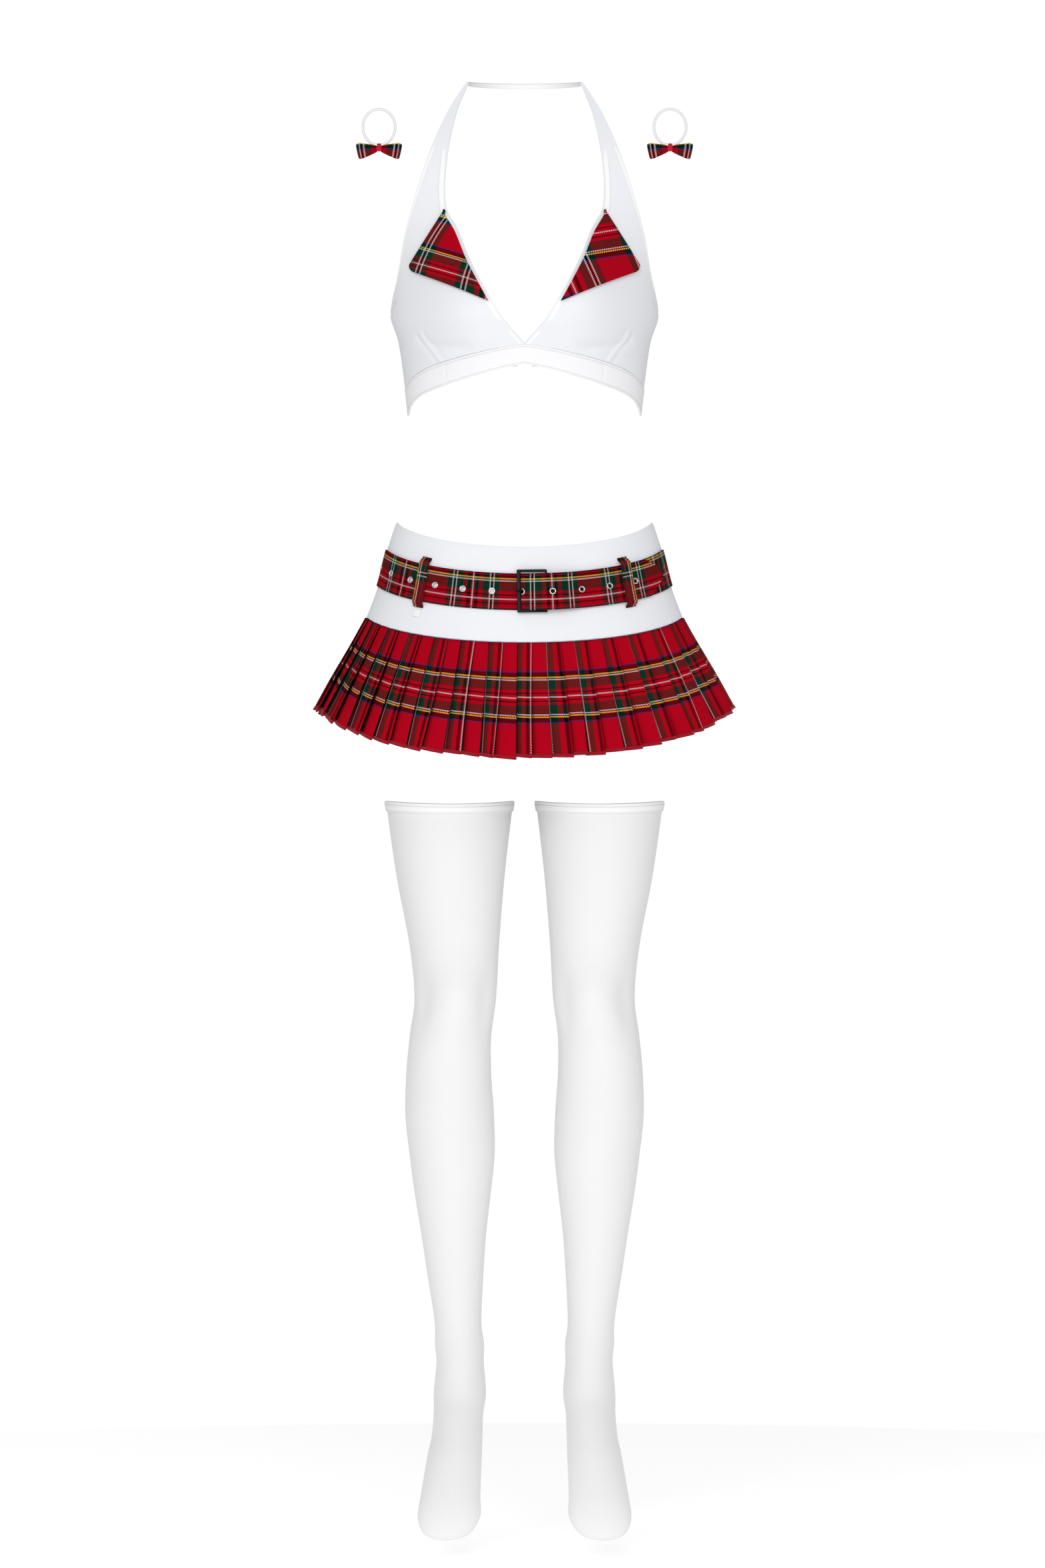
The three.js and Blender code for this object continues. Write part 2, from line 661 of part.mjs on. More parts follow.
const loopClear = {
  left: underStrap + webbing / 2 + eyelet.lip + 3 * gap,
  right: overStrap + webbing / 2 + eyelet.lip + 3 * gap,
};
const loops = [
  ["front_left_belt_loop", -loop.front, loopClear.left],
  ["front_right_belt_loop", loop.front, loopClear.right],
  ["back_left_belt_loop", -loop.back, loopClear.left],
  ["back_right_belt_loop", loop.back, loopClear.left],
];
for (const [name, degrees, clear] of loops) {
  const middle = THREE.MathUtils.degToRad(degrees);
  const half = loop.height / 2;
  const wall = 1.2;
  const profile = [
    [half, gap],
    [half, gap + wall],
    [half - 3.5, clear + wall],
    [-half + 3.5, clear + wall],
    [-half, gap + wall],
    [-half, gap],
    [-half + 2.2, gap],
    [-half + 4.2, clear],
    [half - 4.2, clear],
    [half - 2.2, gap],
  ];
  const radius = Math.hypot(
    hipRow(belt.level)[0] * Math.cos(middle),
    hipRow(belt.level)[1] * Math.sin(middle),
  );
  const sections = steps(3, -0.5, 0.5).map((share) =>
    profile.map(([up, out]) =>
      hipRound(middle + (share * loop.width) / radius, loop.level + up, out),
    ),
  );
  add(name, new LoftGeometry(sections, { capStart: true, capEnd: true }), plaid);
}

const tabAngle = THREE.MathUtils.degToRad(-loop.front);
const tabTop = loop.level - loop.height / 2 - tab.drop;
const tabAt = (u, v, out) =>
  hipRound(tabAngle + ((u - 0.5) * tab.width) / (hip.width / 2.3), tabTop - tab.height * v, out);
const tabCloth = cloth({ at: tabAt, inner: gap, outer: gap + tab.thickness, along: 2, across: 1 });
add("label_tab", tabCloth, bindingWhite);

// ---- Stockings ----------------------------------------------------------------------------

// Rows down the left leg: height, sideways middle, half width, front-to-back middle, half depth.
const middleX = stocking.apart / 2;
const legRows = [
  [stocking.top, middleX, leg.thigh / 2, 0, 72],
  [-304, middleX - 1.2, 58.7, -2, 63],
  [-380, middleX - 5.3, 48.5, -4, 53],
  [-437, middleX - 6.3, leg.knee / 2, -6, 50],
  [-477, middleX - 1.2, leg.knee / 2, -1, 48],
  [-515, middleX + 0.8, 46, 5, 49],
  [-563, middleX - 0.1, leg.calf / 2, 10, 50],
  [-606, middleX - 2.7, 46.4, 12, 47],
  [-649, middleX - 3.4, 41.4, 12, 41],
  [-693, middleX - 4.5, 35.3, 11, 35],
  [-736, middleX - 6.3, 30.6, 10, 31],
  [-790, middleX - 9.3, leg.ankle / 2 + 0.4, 8, 29],
  [-822, middleX - 11.3, leg.ankle / 2, 6, 33],
  [-865, middleX - 11.3, 28.4, 0, 42],
  [-887, middleX - 9.9, 27, -12, 46],
  [-910, middleX - 8.6, 27.4, -32, 43],
  [-930, middleX - 6.3, 29.2, -52, 37],
  [-973, middleX - 2, 32, -88, 25],
  [-995, middleX - 0.5, leg.ball / 2, -102, 19.5],
  [-1011, middleX + 1.6, 27, -111, 13],
  [-1018, middleX + 2.5, 18, -114, 8.5],
  [stocking.toe, middleX + 3, 5, -115, 3],
];
const legAt = smoothRows(legRows);
const ringPoints = 14;
const ring = ([z, x, halfWidth, y, halfDepth], side, out) =>
  steps(ringPoints - 1, 0, 2 * Math.PI * (1 - 1 / ringPoints)).map(
    (angle) =>
      new THREE.Vector3(
        side * x + (halfWidth + out) * Math.sin(angle),
        y - (halfDepth + out) * Math.cos(angle),
        z,
      ),
  );

for (const [name, side] of [
  ["left", -1],
  ["right", 1],
]) {
  // The wall runs from the tip of the toe up the outside, over the top and down the inside.
  const outside = legRows.map((row) => ring(row, side, 0));
  const inside = legRows.slice(0, -1).map((row) => ring(row, side, -stocking.wall));
  const [toeZ, toeX, , toeY] = legRows[legRows.length - 1];
  const toeTip = (rise) => Array(ringPoints).fill(new THREE.Vector3(side * toeX, toeY, toeZ + rise));
  const sections = [toeTip(0), ...outside.reverse(), ...inside, toeTip(stocking.wall)];
  add(`${name}_stocking`, new LoftGeometry(sections), paint(hosiery, 0.7));

  const weltRow = (z, out) => ring([z, ...legAt(z)], side, out);
  const high = stocking.top;
  const low = stocking.top - stocking.welt;
  const welt = [
    weltRow(high, gap),
    weltRow(high, gap + stocking.weltProud),
    weltRow(low, gap + stocking.weltProud),
    weltRow(low, gap),
    weltRow(high, gap),
  ];
  add(`${name}_stocking_welt`, new LoftGeometry(welt), paint(bright, 0.75));
}

// ---- Hair ties ----------------------------------------------------------------------------

const cordRadius = hairTie.cord / 2;
const ringRadius = (hairTie.width - hairTie.cord) / 2;
const ringStretch = (hairTie.height - hairTie.cord) / (hairTie.width - hairTie.cord);
const bowDrop = (hairTie.height - hairTie.cord) / 2; // from the middle of the ring to the cord at its foot

const loopOutline = (t) => {
  // Round one ribbon loop, seen from above: out along the front, back along the rear.
  const angle = t * 2 * Math.PI;
  const reach = (bow.span - bow.knot) / 2 - gap - 2 * bow.ribbon;
  const outward = (1 - Math.cos(angle)) / 2;
  const along = bow.knot / 2 + gap + bow.ribbon + reach * outward;
  const deep = (bow.puff / 2 - bow.ribbon) * Math.sin(angle) * between(0.45, 1, outward);
  const height = between(bow.neck, bow.height, outward ** 0.8);
  return { along, deep, height };
};

for (const [name, side] of [
  ["left", -1],
  ["right", 1],
]) {
  const tie = new THREE.Group();
  tie.position.set(side * hairTie.x, 0, hairTie.level);
  uniform.add(tie);

  const cord = new THREE.TorusGeometry(ringRadius, cordRadius, 6, 20);
  cord.rotateX(Math.PI / 2).scale(1, 1, ringStretch);
  add(`${name}_hair_elastic`, cord, paint(bright, 0.7), tie);

  const knotBlock = new THREE.SphereGeometry(1, 10, 7);
  knotBlock.scale(bow.knot / 2, bow.knotDepth / 2, bow.knotHeight / 2).translate(0, 0, -bowDrop - 2.5);
  const clearance = new THREE.TorusGeometry(ringRadius, cordRadius + 0.45, 6, 20);
  clearance.rotateX(Math.PI / 2).scale(1, 1, ringStretch);
  add(`${name}_bow_knot`, fromSolid(solid(knotBlock).subtract(solid(clearance))), paint(scarlet, 0.85), tie);

  for (const [loopName, way] of [
    ["outer", side],
    ["inner", -side],
  ]) {
    const sections = steps(20).map((t) => {
      const here = loopOutline(t);
      const near = loopOutline(t - 0.01);
      const far = loopOutline(t + 0.01);
      const normal = new THREE.Vector2(near.deep - far.deep, far.along - near.along).normalize();
      return [
        [1, 0.5],
        [1, -0.5],
        [0, -0.5],
        [0, 0.5],
      ].map(([n, up]) => {
        const x = here.along + normal.x * n * bow.ribbon;
        const y = here.deep + normal.y * n * bow.ribbon;
        return new THREE.Vector3(way * x, y, -bowDrop - 5.5 + here.height * up);
      });
    });
    add(`${name}_bow_${loopName}_loop`, new LoftGeometry(sections), plaid, tie);
  }
}

export default uniform;
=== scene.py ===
# Cheer uniform: halter top with tartan lapels, belted skirt, stockings and hair ties.
# Shapes are worked out in millimetres and placed in metres; +Z is up and the front faces -Y.
import bisect
import functools
import math
import random

import bmesh
import bpy
from mathutils import Matrix, Vector, noise


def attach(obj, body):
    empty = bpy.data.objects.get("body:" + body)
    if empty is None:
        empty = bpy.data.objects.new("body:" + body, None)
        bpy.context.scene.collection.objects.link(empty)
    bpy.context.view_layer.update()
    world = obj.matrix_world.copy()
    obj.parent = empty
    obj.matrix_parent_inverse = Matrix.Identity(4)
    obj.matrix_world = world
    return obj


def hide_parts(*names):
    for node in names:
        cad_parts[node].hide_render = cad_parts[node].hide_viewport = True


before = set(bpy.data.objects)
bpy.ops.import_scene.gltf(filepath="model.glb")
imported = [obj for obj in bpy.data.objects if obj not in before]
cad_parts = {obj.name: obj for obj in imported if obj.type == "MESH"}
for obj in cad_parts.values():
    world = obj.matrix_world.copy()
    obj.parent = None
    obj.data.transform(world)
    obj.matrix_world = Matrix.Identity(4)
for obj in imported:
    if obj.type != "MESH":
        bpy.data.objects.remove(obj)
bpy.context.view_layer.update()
mm = 0.001
fullTurn = 2 * math.pi
print("frame loaded:", len(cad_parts), "nodes")


def between(a, b, t):
    return a + (b - a) * t


def clamp(x, low=0.0, high=1.0):
    return max(low, min(high, x))


def ease(x):
    x = clamp(x)
    return x * x * (3 - 2 * x)


def bell(x, wide):
    return math.exp(-((x / wide) ** 2))


# a smooth curve through rows of (key, value, value...)
def smoothRows(rows):
    ordered = sorted(rows)
    last = len(ordered) - 1

    def valuesAt(key):
        i = 0
        while i < last - 1 and key > ordered[i + 1][0]:
            i += 1
        p, q = ordered[i], ordered[i + 1]
        before, after = ordered[max(i - 1, 0)], ordered[min(i + 2, last)]
        span = q[0] - p[0]
        t = clamp((key - p[0]) / span)
        values = []
        for k in range(1, len(p)):
            slopeIn = (q[k] - before[k]) / (q[0] - before[0]) * span
            slopeOut = (after[k] - p[k]) / (after[0] - p[0]) * span
            values.append(
                p[k] * (2 * t ** 3 - 3 * t ** 2 + 1)
                + slopeIn * (t ** 3 - 2 * t ** 2 + t)
                + q[k] * (3 * t ** 2 - 2 * t ** 3)
                + slopeOut * (t ** 3 - t ** 2)
            )
        return values

    return valuesAt


def smoothPath(knots, steps):  # points along a curve through the knots, without the last knot
    points = []
    for i in range(len(knots) - 1):
        p0, p1, p2, p3 = (knots[max(0, min(len(knots) - 1, i + k))] for k in (-1, 0, 1, 2))
        for t in (step / steps for step in range(steps)):
            points.append(0.5 * (
                2 * p1 + (p2 - p0) * t + (2 * p0 - 5 * p1 + 4 * p2 - p3) * t * t
                + (3 * p1 - p0 - 3 * p2 + p3) * t ** 3))
    return points


def lineDistance(x, z, line):  # signed distance to a chain of points, and how far along it
    best = (1e9, 0.0)
    for i in range(len(line) - 1):
        (ax, az), (bx, bz) = line[i], line[i + 1]
        dx, dz = bx - ax, bz - az
        t = clamp(((x - ax) * dx + (z - az) * dz) / (dx * dx + dz * dz))
        px, pz = x - ax - t * dx, z - az - t * dz
        far = math.hypot(px, pz)
        if far < abs(best[0]):
            side = 1 if dx * pz - dz * px >= 0 else -1
            best = (far * side, (i + t) / (len(line) - 1))
    return best


# A sheet of cloth: at(u, v, out) is a point in mm, `out` above the surface under it, and
# weave(u, v, point) is the place on the flat cloth in mm, kept in the UV map "cloth".
def sheetMesh(name, at, columns, rows, weave, joined=False, capped=False, shadow=None):
    bm = bmesh.new()
    # shadow(u, v), when given, is painted shade, kept in the vertex attribute "tuck" for the material to
    # darken by
    tuck = bm.verts.layers.float.new("tuck") if shadow else None
    bmesh.ops.create_grid(bm, x_segments=columns, y_segments=rows, size=0.5)
    place = {vert: (round(vert.co.x + 0.5, 6), round(vert.co.y + 0.5, 6)) for vert in bm.verts}
    points = {vert: at(u, v, 0) for vert, (u, v) in place.items()}
    layer = bm.loops.layers.uv.new("cloth")
    if shadow:
        for vert, (u, v) in place.items():
            vert[tuck] = shadow(u, v)
    for face in bm.faces:
        for loop in face.loops:
            u, v = place[loop.vert]
            loop[layer].uv = weave(u, v, points[loop.vert])
    middleFace = min(bm.faces, key=lambda f: sum(
        (place[w][0] - 0.5) ** 2 + (place[w][1] - 0.5) ** 2 for w in f.verts))
    outward = at(0.5, 0.5, 1) - at(0.5, 0.5, 0)
    for vert, point in points.items():
        vert.co = point * mm
    if joined:
        bmesh.ops.remove_doubles(bm, verts=bm.verts, dist=2e-6)
    if capped:
        bmesh.ops.holes_fill(bm, edges=[e for e in bm.edges if e.is_boundary], sides=0)
    middleFace.normal_update()
    if middleFace.normal.dot(outward) < 0:
        bmesh.ops.reverse_faces(bm, faces=bm.faces)
    return finishMesh(name, bm)


def finishMesh(name, bm):
    mesh = bpy.data.meshes.new(name)
    bm.to_mesh(mesh)
    bm.free()
    mesh.polygons.foreach_set("use_smooth", [True] * len(mesh.polygons))
    piece = bpy.data.objects.new(name, mesh)
    bpy.context.scene.collection.objects.link(piece)
    return piece


def thicken(piece, wall, offset=-1.0, softEdge=0.3, segments=2):
    solidify = piece.modifiers.new("wall", "SOLIDIFY")
    solidify.thickness = wall * mm
    solidify.offset = offset
    if softEdge:
        bevel = piece.modifiers.new("edge", "BEVEL")
        bevel.width = softEdge * mm
        bevel.segments = segments
        bevel.limit_method = "ANGLE"
        bevel.angle_limit = math.radians(50)
        bevel.harden_normals = True
    return piece


def dress(piece, material, body, replaced=()):
    piece.data.materials.append(material)
    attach(piece, body)
    if replaced:
        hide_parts(*replaced)
    return piece


# A round or shaped bar along a path of points in mm, closed on itself or capped.
def barMesh(name, path, radius, sides=12, closed=False, flat=1.0, up=Vector((0, 0, 1))):
    last = len(path) - 1

    def at(u, v, out):
        i = round(u * last)
        here = path[i]
        if closed:
            tangent = path[(i + 1) % last] - path[(i - 1) % last]
        else:
            tangent = path[min(i + 1, last)] - path[max(i - 1, 0)]
        side = tangent.cross(up).normalized()
        top = side.cross(tangent).normalized()
        size = radius(u) if callable(radius) else radius
        angle = v * fullTurn
        across = side * ((size + out) * math.cos(angle))
        return here + across + top * ((size * flat + out) * math.sin(angle))

    total = sum((path[i + 1] - path[i]).length for i in range(last))
    return sheetMesh(
        name, at, last, sides, lambda u, v, p: (u * total, v * sides), joined=True, capped=not closed)


def calc(tree, operation, a, b=None, c=None):
    node = tree.nodes.new("ShaderNodeMath")
    node.operation = operation
    for socket, value in zip(node.inputs, (a, b, c)):
        if value is None:
            continue
        if isinstance(value, (int, float)):
            socket.default_value = value
        else:
            tree.links.new(value, socket)
    return node.outputs[0]


def mixColors(tree, share, a, b, blend="MIX"):
    node = tree.nodes.new("ShaderNodeMix")
    node.data_type = "RGBA"
    node.blend_type = blend
    for socket, value in ((node.inputs[0], share), (node.inputs[6], a), (node.inputs[7], b)):
        if isinstance(value, (int, float)):
            socket.default_value = value
        elif isinstance(value, tuple):
            socket.default_value = (*value, 1)
        else:
            tree.links.new(value, socket)
    return node.outputs[2]


def colorRamp(tree, fac, stops):
    node = tree.nodes.new("ShaderNodeValToRGB")
    node.color_ramp.interpolation = "CONSTANT"
    elements = node.color_ramp.elements
    while len(elements) > 1:
        elements.remove(elements[-1])
    elements[0].position, elements[0].color = stops[0][0], (*stops[0][1], 1)
    for position, color in stops[1:]:
        elements.new(position).color = (*color, 1)
    tree.links.new(fac, node.inputs[0])
    return node.outputs[0]


def newGroup(name, inputs, outputs):
    group = bpy.data.node_groups.new(name, "ShaderNodeTree")
    for label, kind, value in inputs:
        socket = group.interface.new_socket(name=label, in_out="INPUT", socket_type=kind)
        socket.default_value = value
    for label, kind in outputs:
        group.interface.new_socket(name=label, in_out="OUTPUT", socket_type=kind)
    inside = group.nodes.new("NodeGroupInput")
    outside = group.nodes.new("NodeGroupOutput")
    return group, inside.outputs, outside.inputs


def useGroup(tree, group, **values):
    node = tree.nodes.new("ShaderNodeGroup")
    node.node_tree = group
    for label, value in values.items():
        socket = node.inputs[label]
        if isinstance(value, (int, float)):
            socket.default_value = value
        else:
            tree.links.new(value, socket)
    return node.outputs


def newMaterial(name, roughness=0.8, metallic=0.0, sheen=0.0, specular=0.3):
    material = bpy.data.materials.new(name)
    material.use_nodes = True
    tree = material.node_tree
    shader = tree.nodes["Principled BSDF"]
    shader.inputs["Roughness"].default_value = roughness
    shader.inputs["Metallic"].default_value = metallic
    shader.inputs["Sheen Weight"].default_value = sheen
    shader.inputs["Sheen Roughness"].default_value = 0.5
    shader.inputs["Specular IOR Level"].default_value = specular
    return material, tree, shader


def clothPlace(tree):  # the two ways across the flat cloth, in mm
    uv = tree.nodes.new("ShaderNodeUVMap")
    uv.uv_map = "cloth"
    split = tree.nodes.new("ShaderNodeSeparateXYZ")
    tree.links.new(uv.outputs[0], split.inputs[0])
    return split.outputs[0], split.outputs[1]


def addNoise(tree, scale, detail=3.0, roughness=0.5):
    node = tree.nodes.new("ShaderNodeTexNoise")
    node.inputs["Scale"].default_value = scale
    node.inputs["Detail"].default_value = detail
    node.inputs["Roughness"].default_value = roughness
    place = tree.nodes.new("ShaderNodeTexCoord")
    tree.links.new(place.outputs["Object"], node.inputs["Vector"])
    return node.outputs["Fac"]


def addBump(tree, shader, height, distance, strength=1.0):
    bump = tree.nodes.new("ShaderNodeBump")
    bump.inputs["Distance"].default_value = distance * mm
    bump.inputs["Strength"].default_value = strength
    tree.links.new(height, bump.inputs["Height"])
    tree.links.new(bump.outputs[0], shader.inputs["Normal"])


dye = {
    "red": (0.48, 0.0005, 0.012),
    "green": (0.0038, 0.034, 0.02),
    "black": (0.002, 0.002, 0.0022),
    "blue": (0.010, 0.028, 0.24),
    "white": (0.66, 0.64, 0.64),
    "yellow": (0.92, 0.66, 0.06),
}
warpSett = {  # each colour starts this many mm from the single white line, mirrored at the end
    "half": 41.5,
    "bands": [(0, "white"), (0.7, "red"), (2.4, "black"), (5.8, "red"), (10.5, "green"), (17.4, "white"),
              (18.8, "black"), (21.2, "white"), (22.7, "green"), (27.8, "red")],
}
weftSett = {
    "half": 43.4,
    "bands": [(0, "white"), (0.7, "red"), (3.4, "black"), (5.0, "red"), (8.4, "green"), (17.2, "black"),
              (18.1, "white"), (19.5, "black"), (20.1, "yellow"), (22.0, "black"), (26.4, "blue"),
              (28.2, "red")],
}
# shade and crossingShade set how much painted shade the threads get
twill = {"thread": 0.48, "shade": 0.45, "crossingShade": 0.68}


def makeTartanGroup():
    group, given, made = newGroup(
        "tartanTwill",
        [("U", "NodeSocketFloat", 0.0), ("V", "NodeSocketFloat", 0.0), ("Lean", "NodeSocketFloat", 1.0)],
        [("Color", "NodeSocketColor"), ("Height", "NodeSocketFloat")])
    thread = twill["thread"]
    counts = {}
    colors = {}
    for way, sett in (("U", warpSett), ("V", weftSett)):
        count = calc(group, "ROUND", calc(group, "DIVIDE", given[way], thread))
        middle = calc(group, "MULTIPLY", count, thread)
        folded = calc(group, "DIVIDE", calc(group, "PINGPONG", middle, sett["half"]), sett["half"])
        stops = [(start / sett["half"], dye[color]) for start, color in sett["bands"]]
        counts[way] = count
        colors[way] = colorRamp(group, folded, stops)
    diagonal = calc(group, "MULTIPLY_ADD", counts["V"], given["Lean"], counts["U"])
    onTop = calc(group, "LESS_THAN", calc(group, "FRACT", calc(group, "DIVIDE", diagonal, 4.0)), 0.5)
    ridges = {}
    for way in ("U", "V"):
        turns = calc(group, "MULTIPLY", given[way], math.pi / thread)
        wave = calc(group, "ABSOLUTE", calc(group, "COSINE", turns))
        ridges[way] = calc(group, "POWER", wave, 0.6)
    cloth = mixColors(group, onTop, colors["V"], colors["U"])
    across = calc(group, "MULTIPLY", ridges["U"], onTop)
    along = calc(group, "MULTIPLY", ridges["V"], calc(group, "SUBTRACT", 1.0, onTop))
    height = calc(group, "ADD", across, along)
    # painted shade: each thread darker towards its edges, following its height across the weave
    shade = calc(group, "MULTIPLY_ADD", height, 1 - twill["shade"], twill["shade"])
    lights = []
    for way in ("U", "V"):
        grey = group.nodes.new("ShaderNodeRGBToBW")
        group.links.new(colors[way], grey.inputs[0])
        lights.append(grey.outputs[0])
    # more painted shade where a dark thread crosses one of another colour; pairs with a pale thread are
    # left out
    unlike = calc(group, "ABSOLUTE", calc(group, "SUBTRACT", lights[0], lights[1]))
    unlike = calc(group, "MINIMUM", calc(group, "MULTIPLY", unlike, 9.0), 1.0)
    pale = calc(group, "MINIMUM", calc(group, "MULTIPLY", calc(group, "MAXIMUM", *lights), 2.5), 1.0)
    unlike = calc(group, "MULTIPLY", unlike, calc(group, "SUBTRACT", 1.0, pale))
    shade = calc(group, "MULTIPLY", shade, calc(group, "MULTIPLY_ADD", unlike, -twill["crossingShade"], 1.0))
    grey = group.nodes.new("ShaderNodeCombineColor")
    for socket in grey.inputs[:3]:
        group.links.new(shade, socket)
    group.links.new(mixColors(group, 1.0, cloth, grey.outputs[0], "MULTIPLY"), made["Color"])
    group.links.new(height, made["Height"])
    return group


def makeKnitGroup():
    group, given, made = newGroup(
        "knitLoops",
        [("U", "NodeSocketFloat", 0.0), ("V", "NodeSocketFloat", 0.0), ("Wale", "NodeSocketFloat", 0.7),
         ("Course", "NodeSocketFloat", 0.55)],
        [("Height", "NodeSocketFloat")])
    wave = calc(group, "ABSOLUTE", calc(group, "SINE", calc(
        group, "DIVIDE", calc(group, "MULTIPLY", given["U"], math.pi), given["Wale"])))
    slant = calc(group, "MULTIPLY_ADD", wave, 1.6, calc(
        group, "DIVIDE", calc(group, "MULTIPLY", given["V"], math.pi), given["Course"]))
    loops = calc(group, "ABSOLUTE", calc(group, "SINE", slant))
    group.links.new(calc(group, "MULTIPLY", calc(group, "POWER", wave, 0.7), calc(
        group, "MULTIPLY_ADD", loops, 0.45, 0.55)), made["Height"])
    return group


def makeStitchGroup():  # a row of lockstitch: Far is the distance from the row, Along runs down it
    group, given, made = newGroup(
        "stitchRow",
        [("Far", "NodeSocketFloat", 0.0), ("Along", "NodeSocketFloat", 0.0),
         ("Pitch", "NodeSocketFloat", 2.6), ("Wide", "NodeSocketFloat", 0.35)],
        [("Thread", "NodeSocketFloat"), ("Dip", "NodeSocketFloat")])
    far = calc(group, "ABSOLUTE", given["Far"])
    near = calc(group, "LESS_THAN", far, given["Wide"])
    dash = calc(group, "LESS_THAN", calc(group, "FRACT", calc(
        group, "DIVIDE", given["Along"], given["Pitch"])), 0.68)
    group.links.new(calc(group, "MULTIPLY", near, dash), made["Thread"])
    share = calc(group, "DIVIDE", far, calc(group, "MULTIPLY", given["Wide"], 3.0))
    group.links.new(calc(group, "SUBTRACT", 1.0, calc(group, "SMOOTH_MIN", share, 1.0, 0.3)), made["Dip"])
    return group


def makeMottleGroup():  # slow and fine changes of tone, around 1
    group, given, made = newGroup(
        "clothMottle",
        [("Slow", "NodeSocketFloat", 0.03), ("Fine", "NodeSocketFloat", 0.03)],
        [("Tone", "NodeSocketFloat")])
    slow = addNoise(group, 18.0, 2.0)
    fine = addNoise(group, 900.0, 2.0)
    low = calc(group, "MULTIPLY", calc(group, "SUBTRACT", slow, 0.5), given["Slow"])
    high = calc(group, "MULTIPLY", calc(group, "SUBTRACT", fine, 0.5), given["Fine"])
    group.links.new(calc(group, "ADD", calc(group, "ADD", low, high), 1.0), made["Tone"])
    return group


def makeWearGroup():  # scuffs and bright edges on metal
    group, given, made = newGroup(
        "metalWear", [("Amount", "NodeSocketFloat", 0.5)],
        [("Edge", "NodeSocketFloat"), ("Scuff", "NodeSocketFloat")])
    geometry = group.nodes.new("ShaderNodeNewGeometry")
    sharp = calc(group, "MULTIPLY", calc(group, "SUBTRACT", geometry.outputs["Pointiness"], 0.52), 9.0)
    patch = addNoise(group, 260.0, 4.0, 0.6)
    worn = calc(group, "MULTIPLY", calc(group, "MULTIPLY", sharp, patch), given["Amount"])
    group.links.new(calc(group, "MINIMUM", calc(group, "MAXIMUM", worn, 0.0), 1.0), made["Edge"])
    group.links.new(addNoise(group, 1400.0, 2.0), made["Scuff"])
    return group


tartanGroup = makeTartanGroup()
knitGroup = makeKnitGroup()
stitchGroup = makeStitchGroup()
mottleGroup = makeMottleGroup()
wearGroup = makeWearGroup()


def scaleColor(tree, color, tone):
    grey = tree.nodes.new("ShaderNodeCombineColor")
    for socket in grey.inputs[:3]:
        tree.links.new(tone, socket)
    return mixColors(tree, 1.0, color, grey.outputs[0], "MULTIPLY")


# white jersey or rib; rows is a list of (which way, place in mm) for its stitching
def makeKnit(name, color, wale, course, depth, rows=(), rib=0.0, slow=0.03, sheen=0.15):
    material, tree, shader = newMaterial(name, 0.85, sheen=sheen, specular=0.15)
    u, v = clothPlace(tree)
    loops = useGroup(tree, knitGroup, U=u, V=v, Wale=wale, Course=course)["Height"]
    tone = useGroup(tree, mottleGroup, Slow=slow, Fine=0.05)["Tone"]
    height = calc(tree, "MULTIPLY", loops, depth)
    if rib:
        cord = calc(tree, "ABSOLUTE", calc(tree, "SINE", calc(tree, "MULTIPLY", v, math.pi / rib)))
        height = calc(tree, "MULTIPLY_ADD", cord, depth * 1.6, height)
    # painted shade: darker in the hollows between knit loops and in the groove of each stitch row
    shade = calc(tree, "MULTIPLY_ADD", loops, 0.05, 0.95)
    for way, place in rows:
        across, along = (v, u) if way == "v" else (u, v)
        stitch = useGroup(tree, stitchGroup, Far=calc(tree, "SUBTRACT", across, place), Along=along)
        height = calc(tree, "MULTIPLY_ADD", stitch["Dip"], -0.35, height)
        height = calc(tree, "MULTIPLY_ADD", stitch["Thread"], 0.3, height)
        shade = calc(tree, "MULTIPLY_ADD", stitch["Dip"], -0.07, shade)
    tone = calc(tree, "MULTIPLY", tone, shade)
    tree.links.new(scaleColor(tree, color, tone), shader.inputs["Base Color"])
    addBump(tree, shader, height, 1.0, 0.8)
    return material


def makeTartan(name, lean=1.0, rows=(), paintedFoldShade=False, tone=1.0):
    material, tree, shader = newMaterial(name, 0.9, specular=0.04)
    u, v = clothPlace(tree)
    weave = useGroup(tree, tartanGroup, U=u, V=v, Lean=lean)
    tone = calc(tree, "MULTIPLY", useGroup(tree, mottleGroup, Slow=0.1, Fine=0.16)["Tone"], tone)
    if paintedFoldShade:  # painted shade, darkest where the face runs in under the fold of the pleat before it
        foldShadeAttribute = tree.nodes.new("ShaderNodeAttribute")
        foldShadeAttribute.attribute_name = "tuck"
        tone = calc(tree, "MULTIPLY", tone, calc(tree, "MULTIPLY_ADD", foldShadeAttribute.outputs["Fac"], -0.9, 1.0))
    color = scaleColor(tree, weave["Color"], tone)
    height = calc(tree, "MULTIPLY", weave["Height"], 0.14)
    for way, place in rows:
        across, along = (v, u) if way == "v" else (u, v)
        far = calc(tree, "SUBTRACT", across, place)
        stitch = useGroup(tree, stitchGroup, Far=far, Along=along, Pitch=2.4)
        color = mixColors(tree, stitch["Thread"], color, (0.42, 0.004, 0.018))
        height = calc(tree, "MULTIPLY_ADD", stitch["Dip"], -0.3, height)
        height = calc(tree, "MULTIPLY_ADD", stitch["Thread"], 0.3, height)
    tree.links.new(color, shader.inputs["Base Color"])
    addBump(tree, shader, height, 1.0, 0.9)
    return material


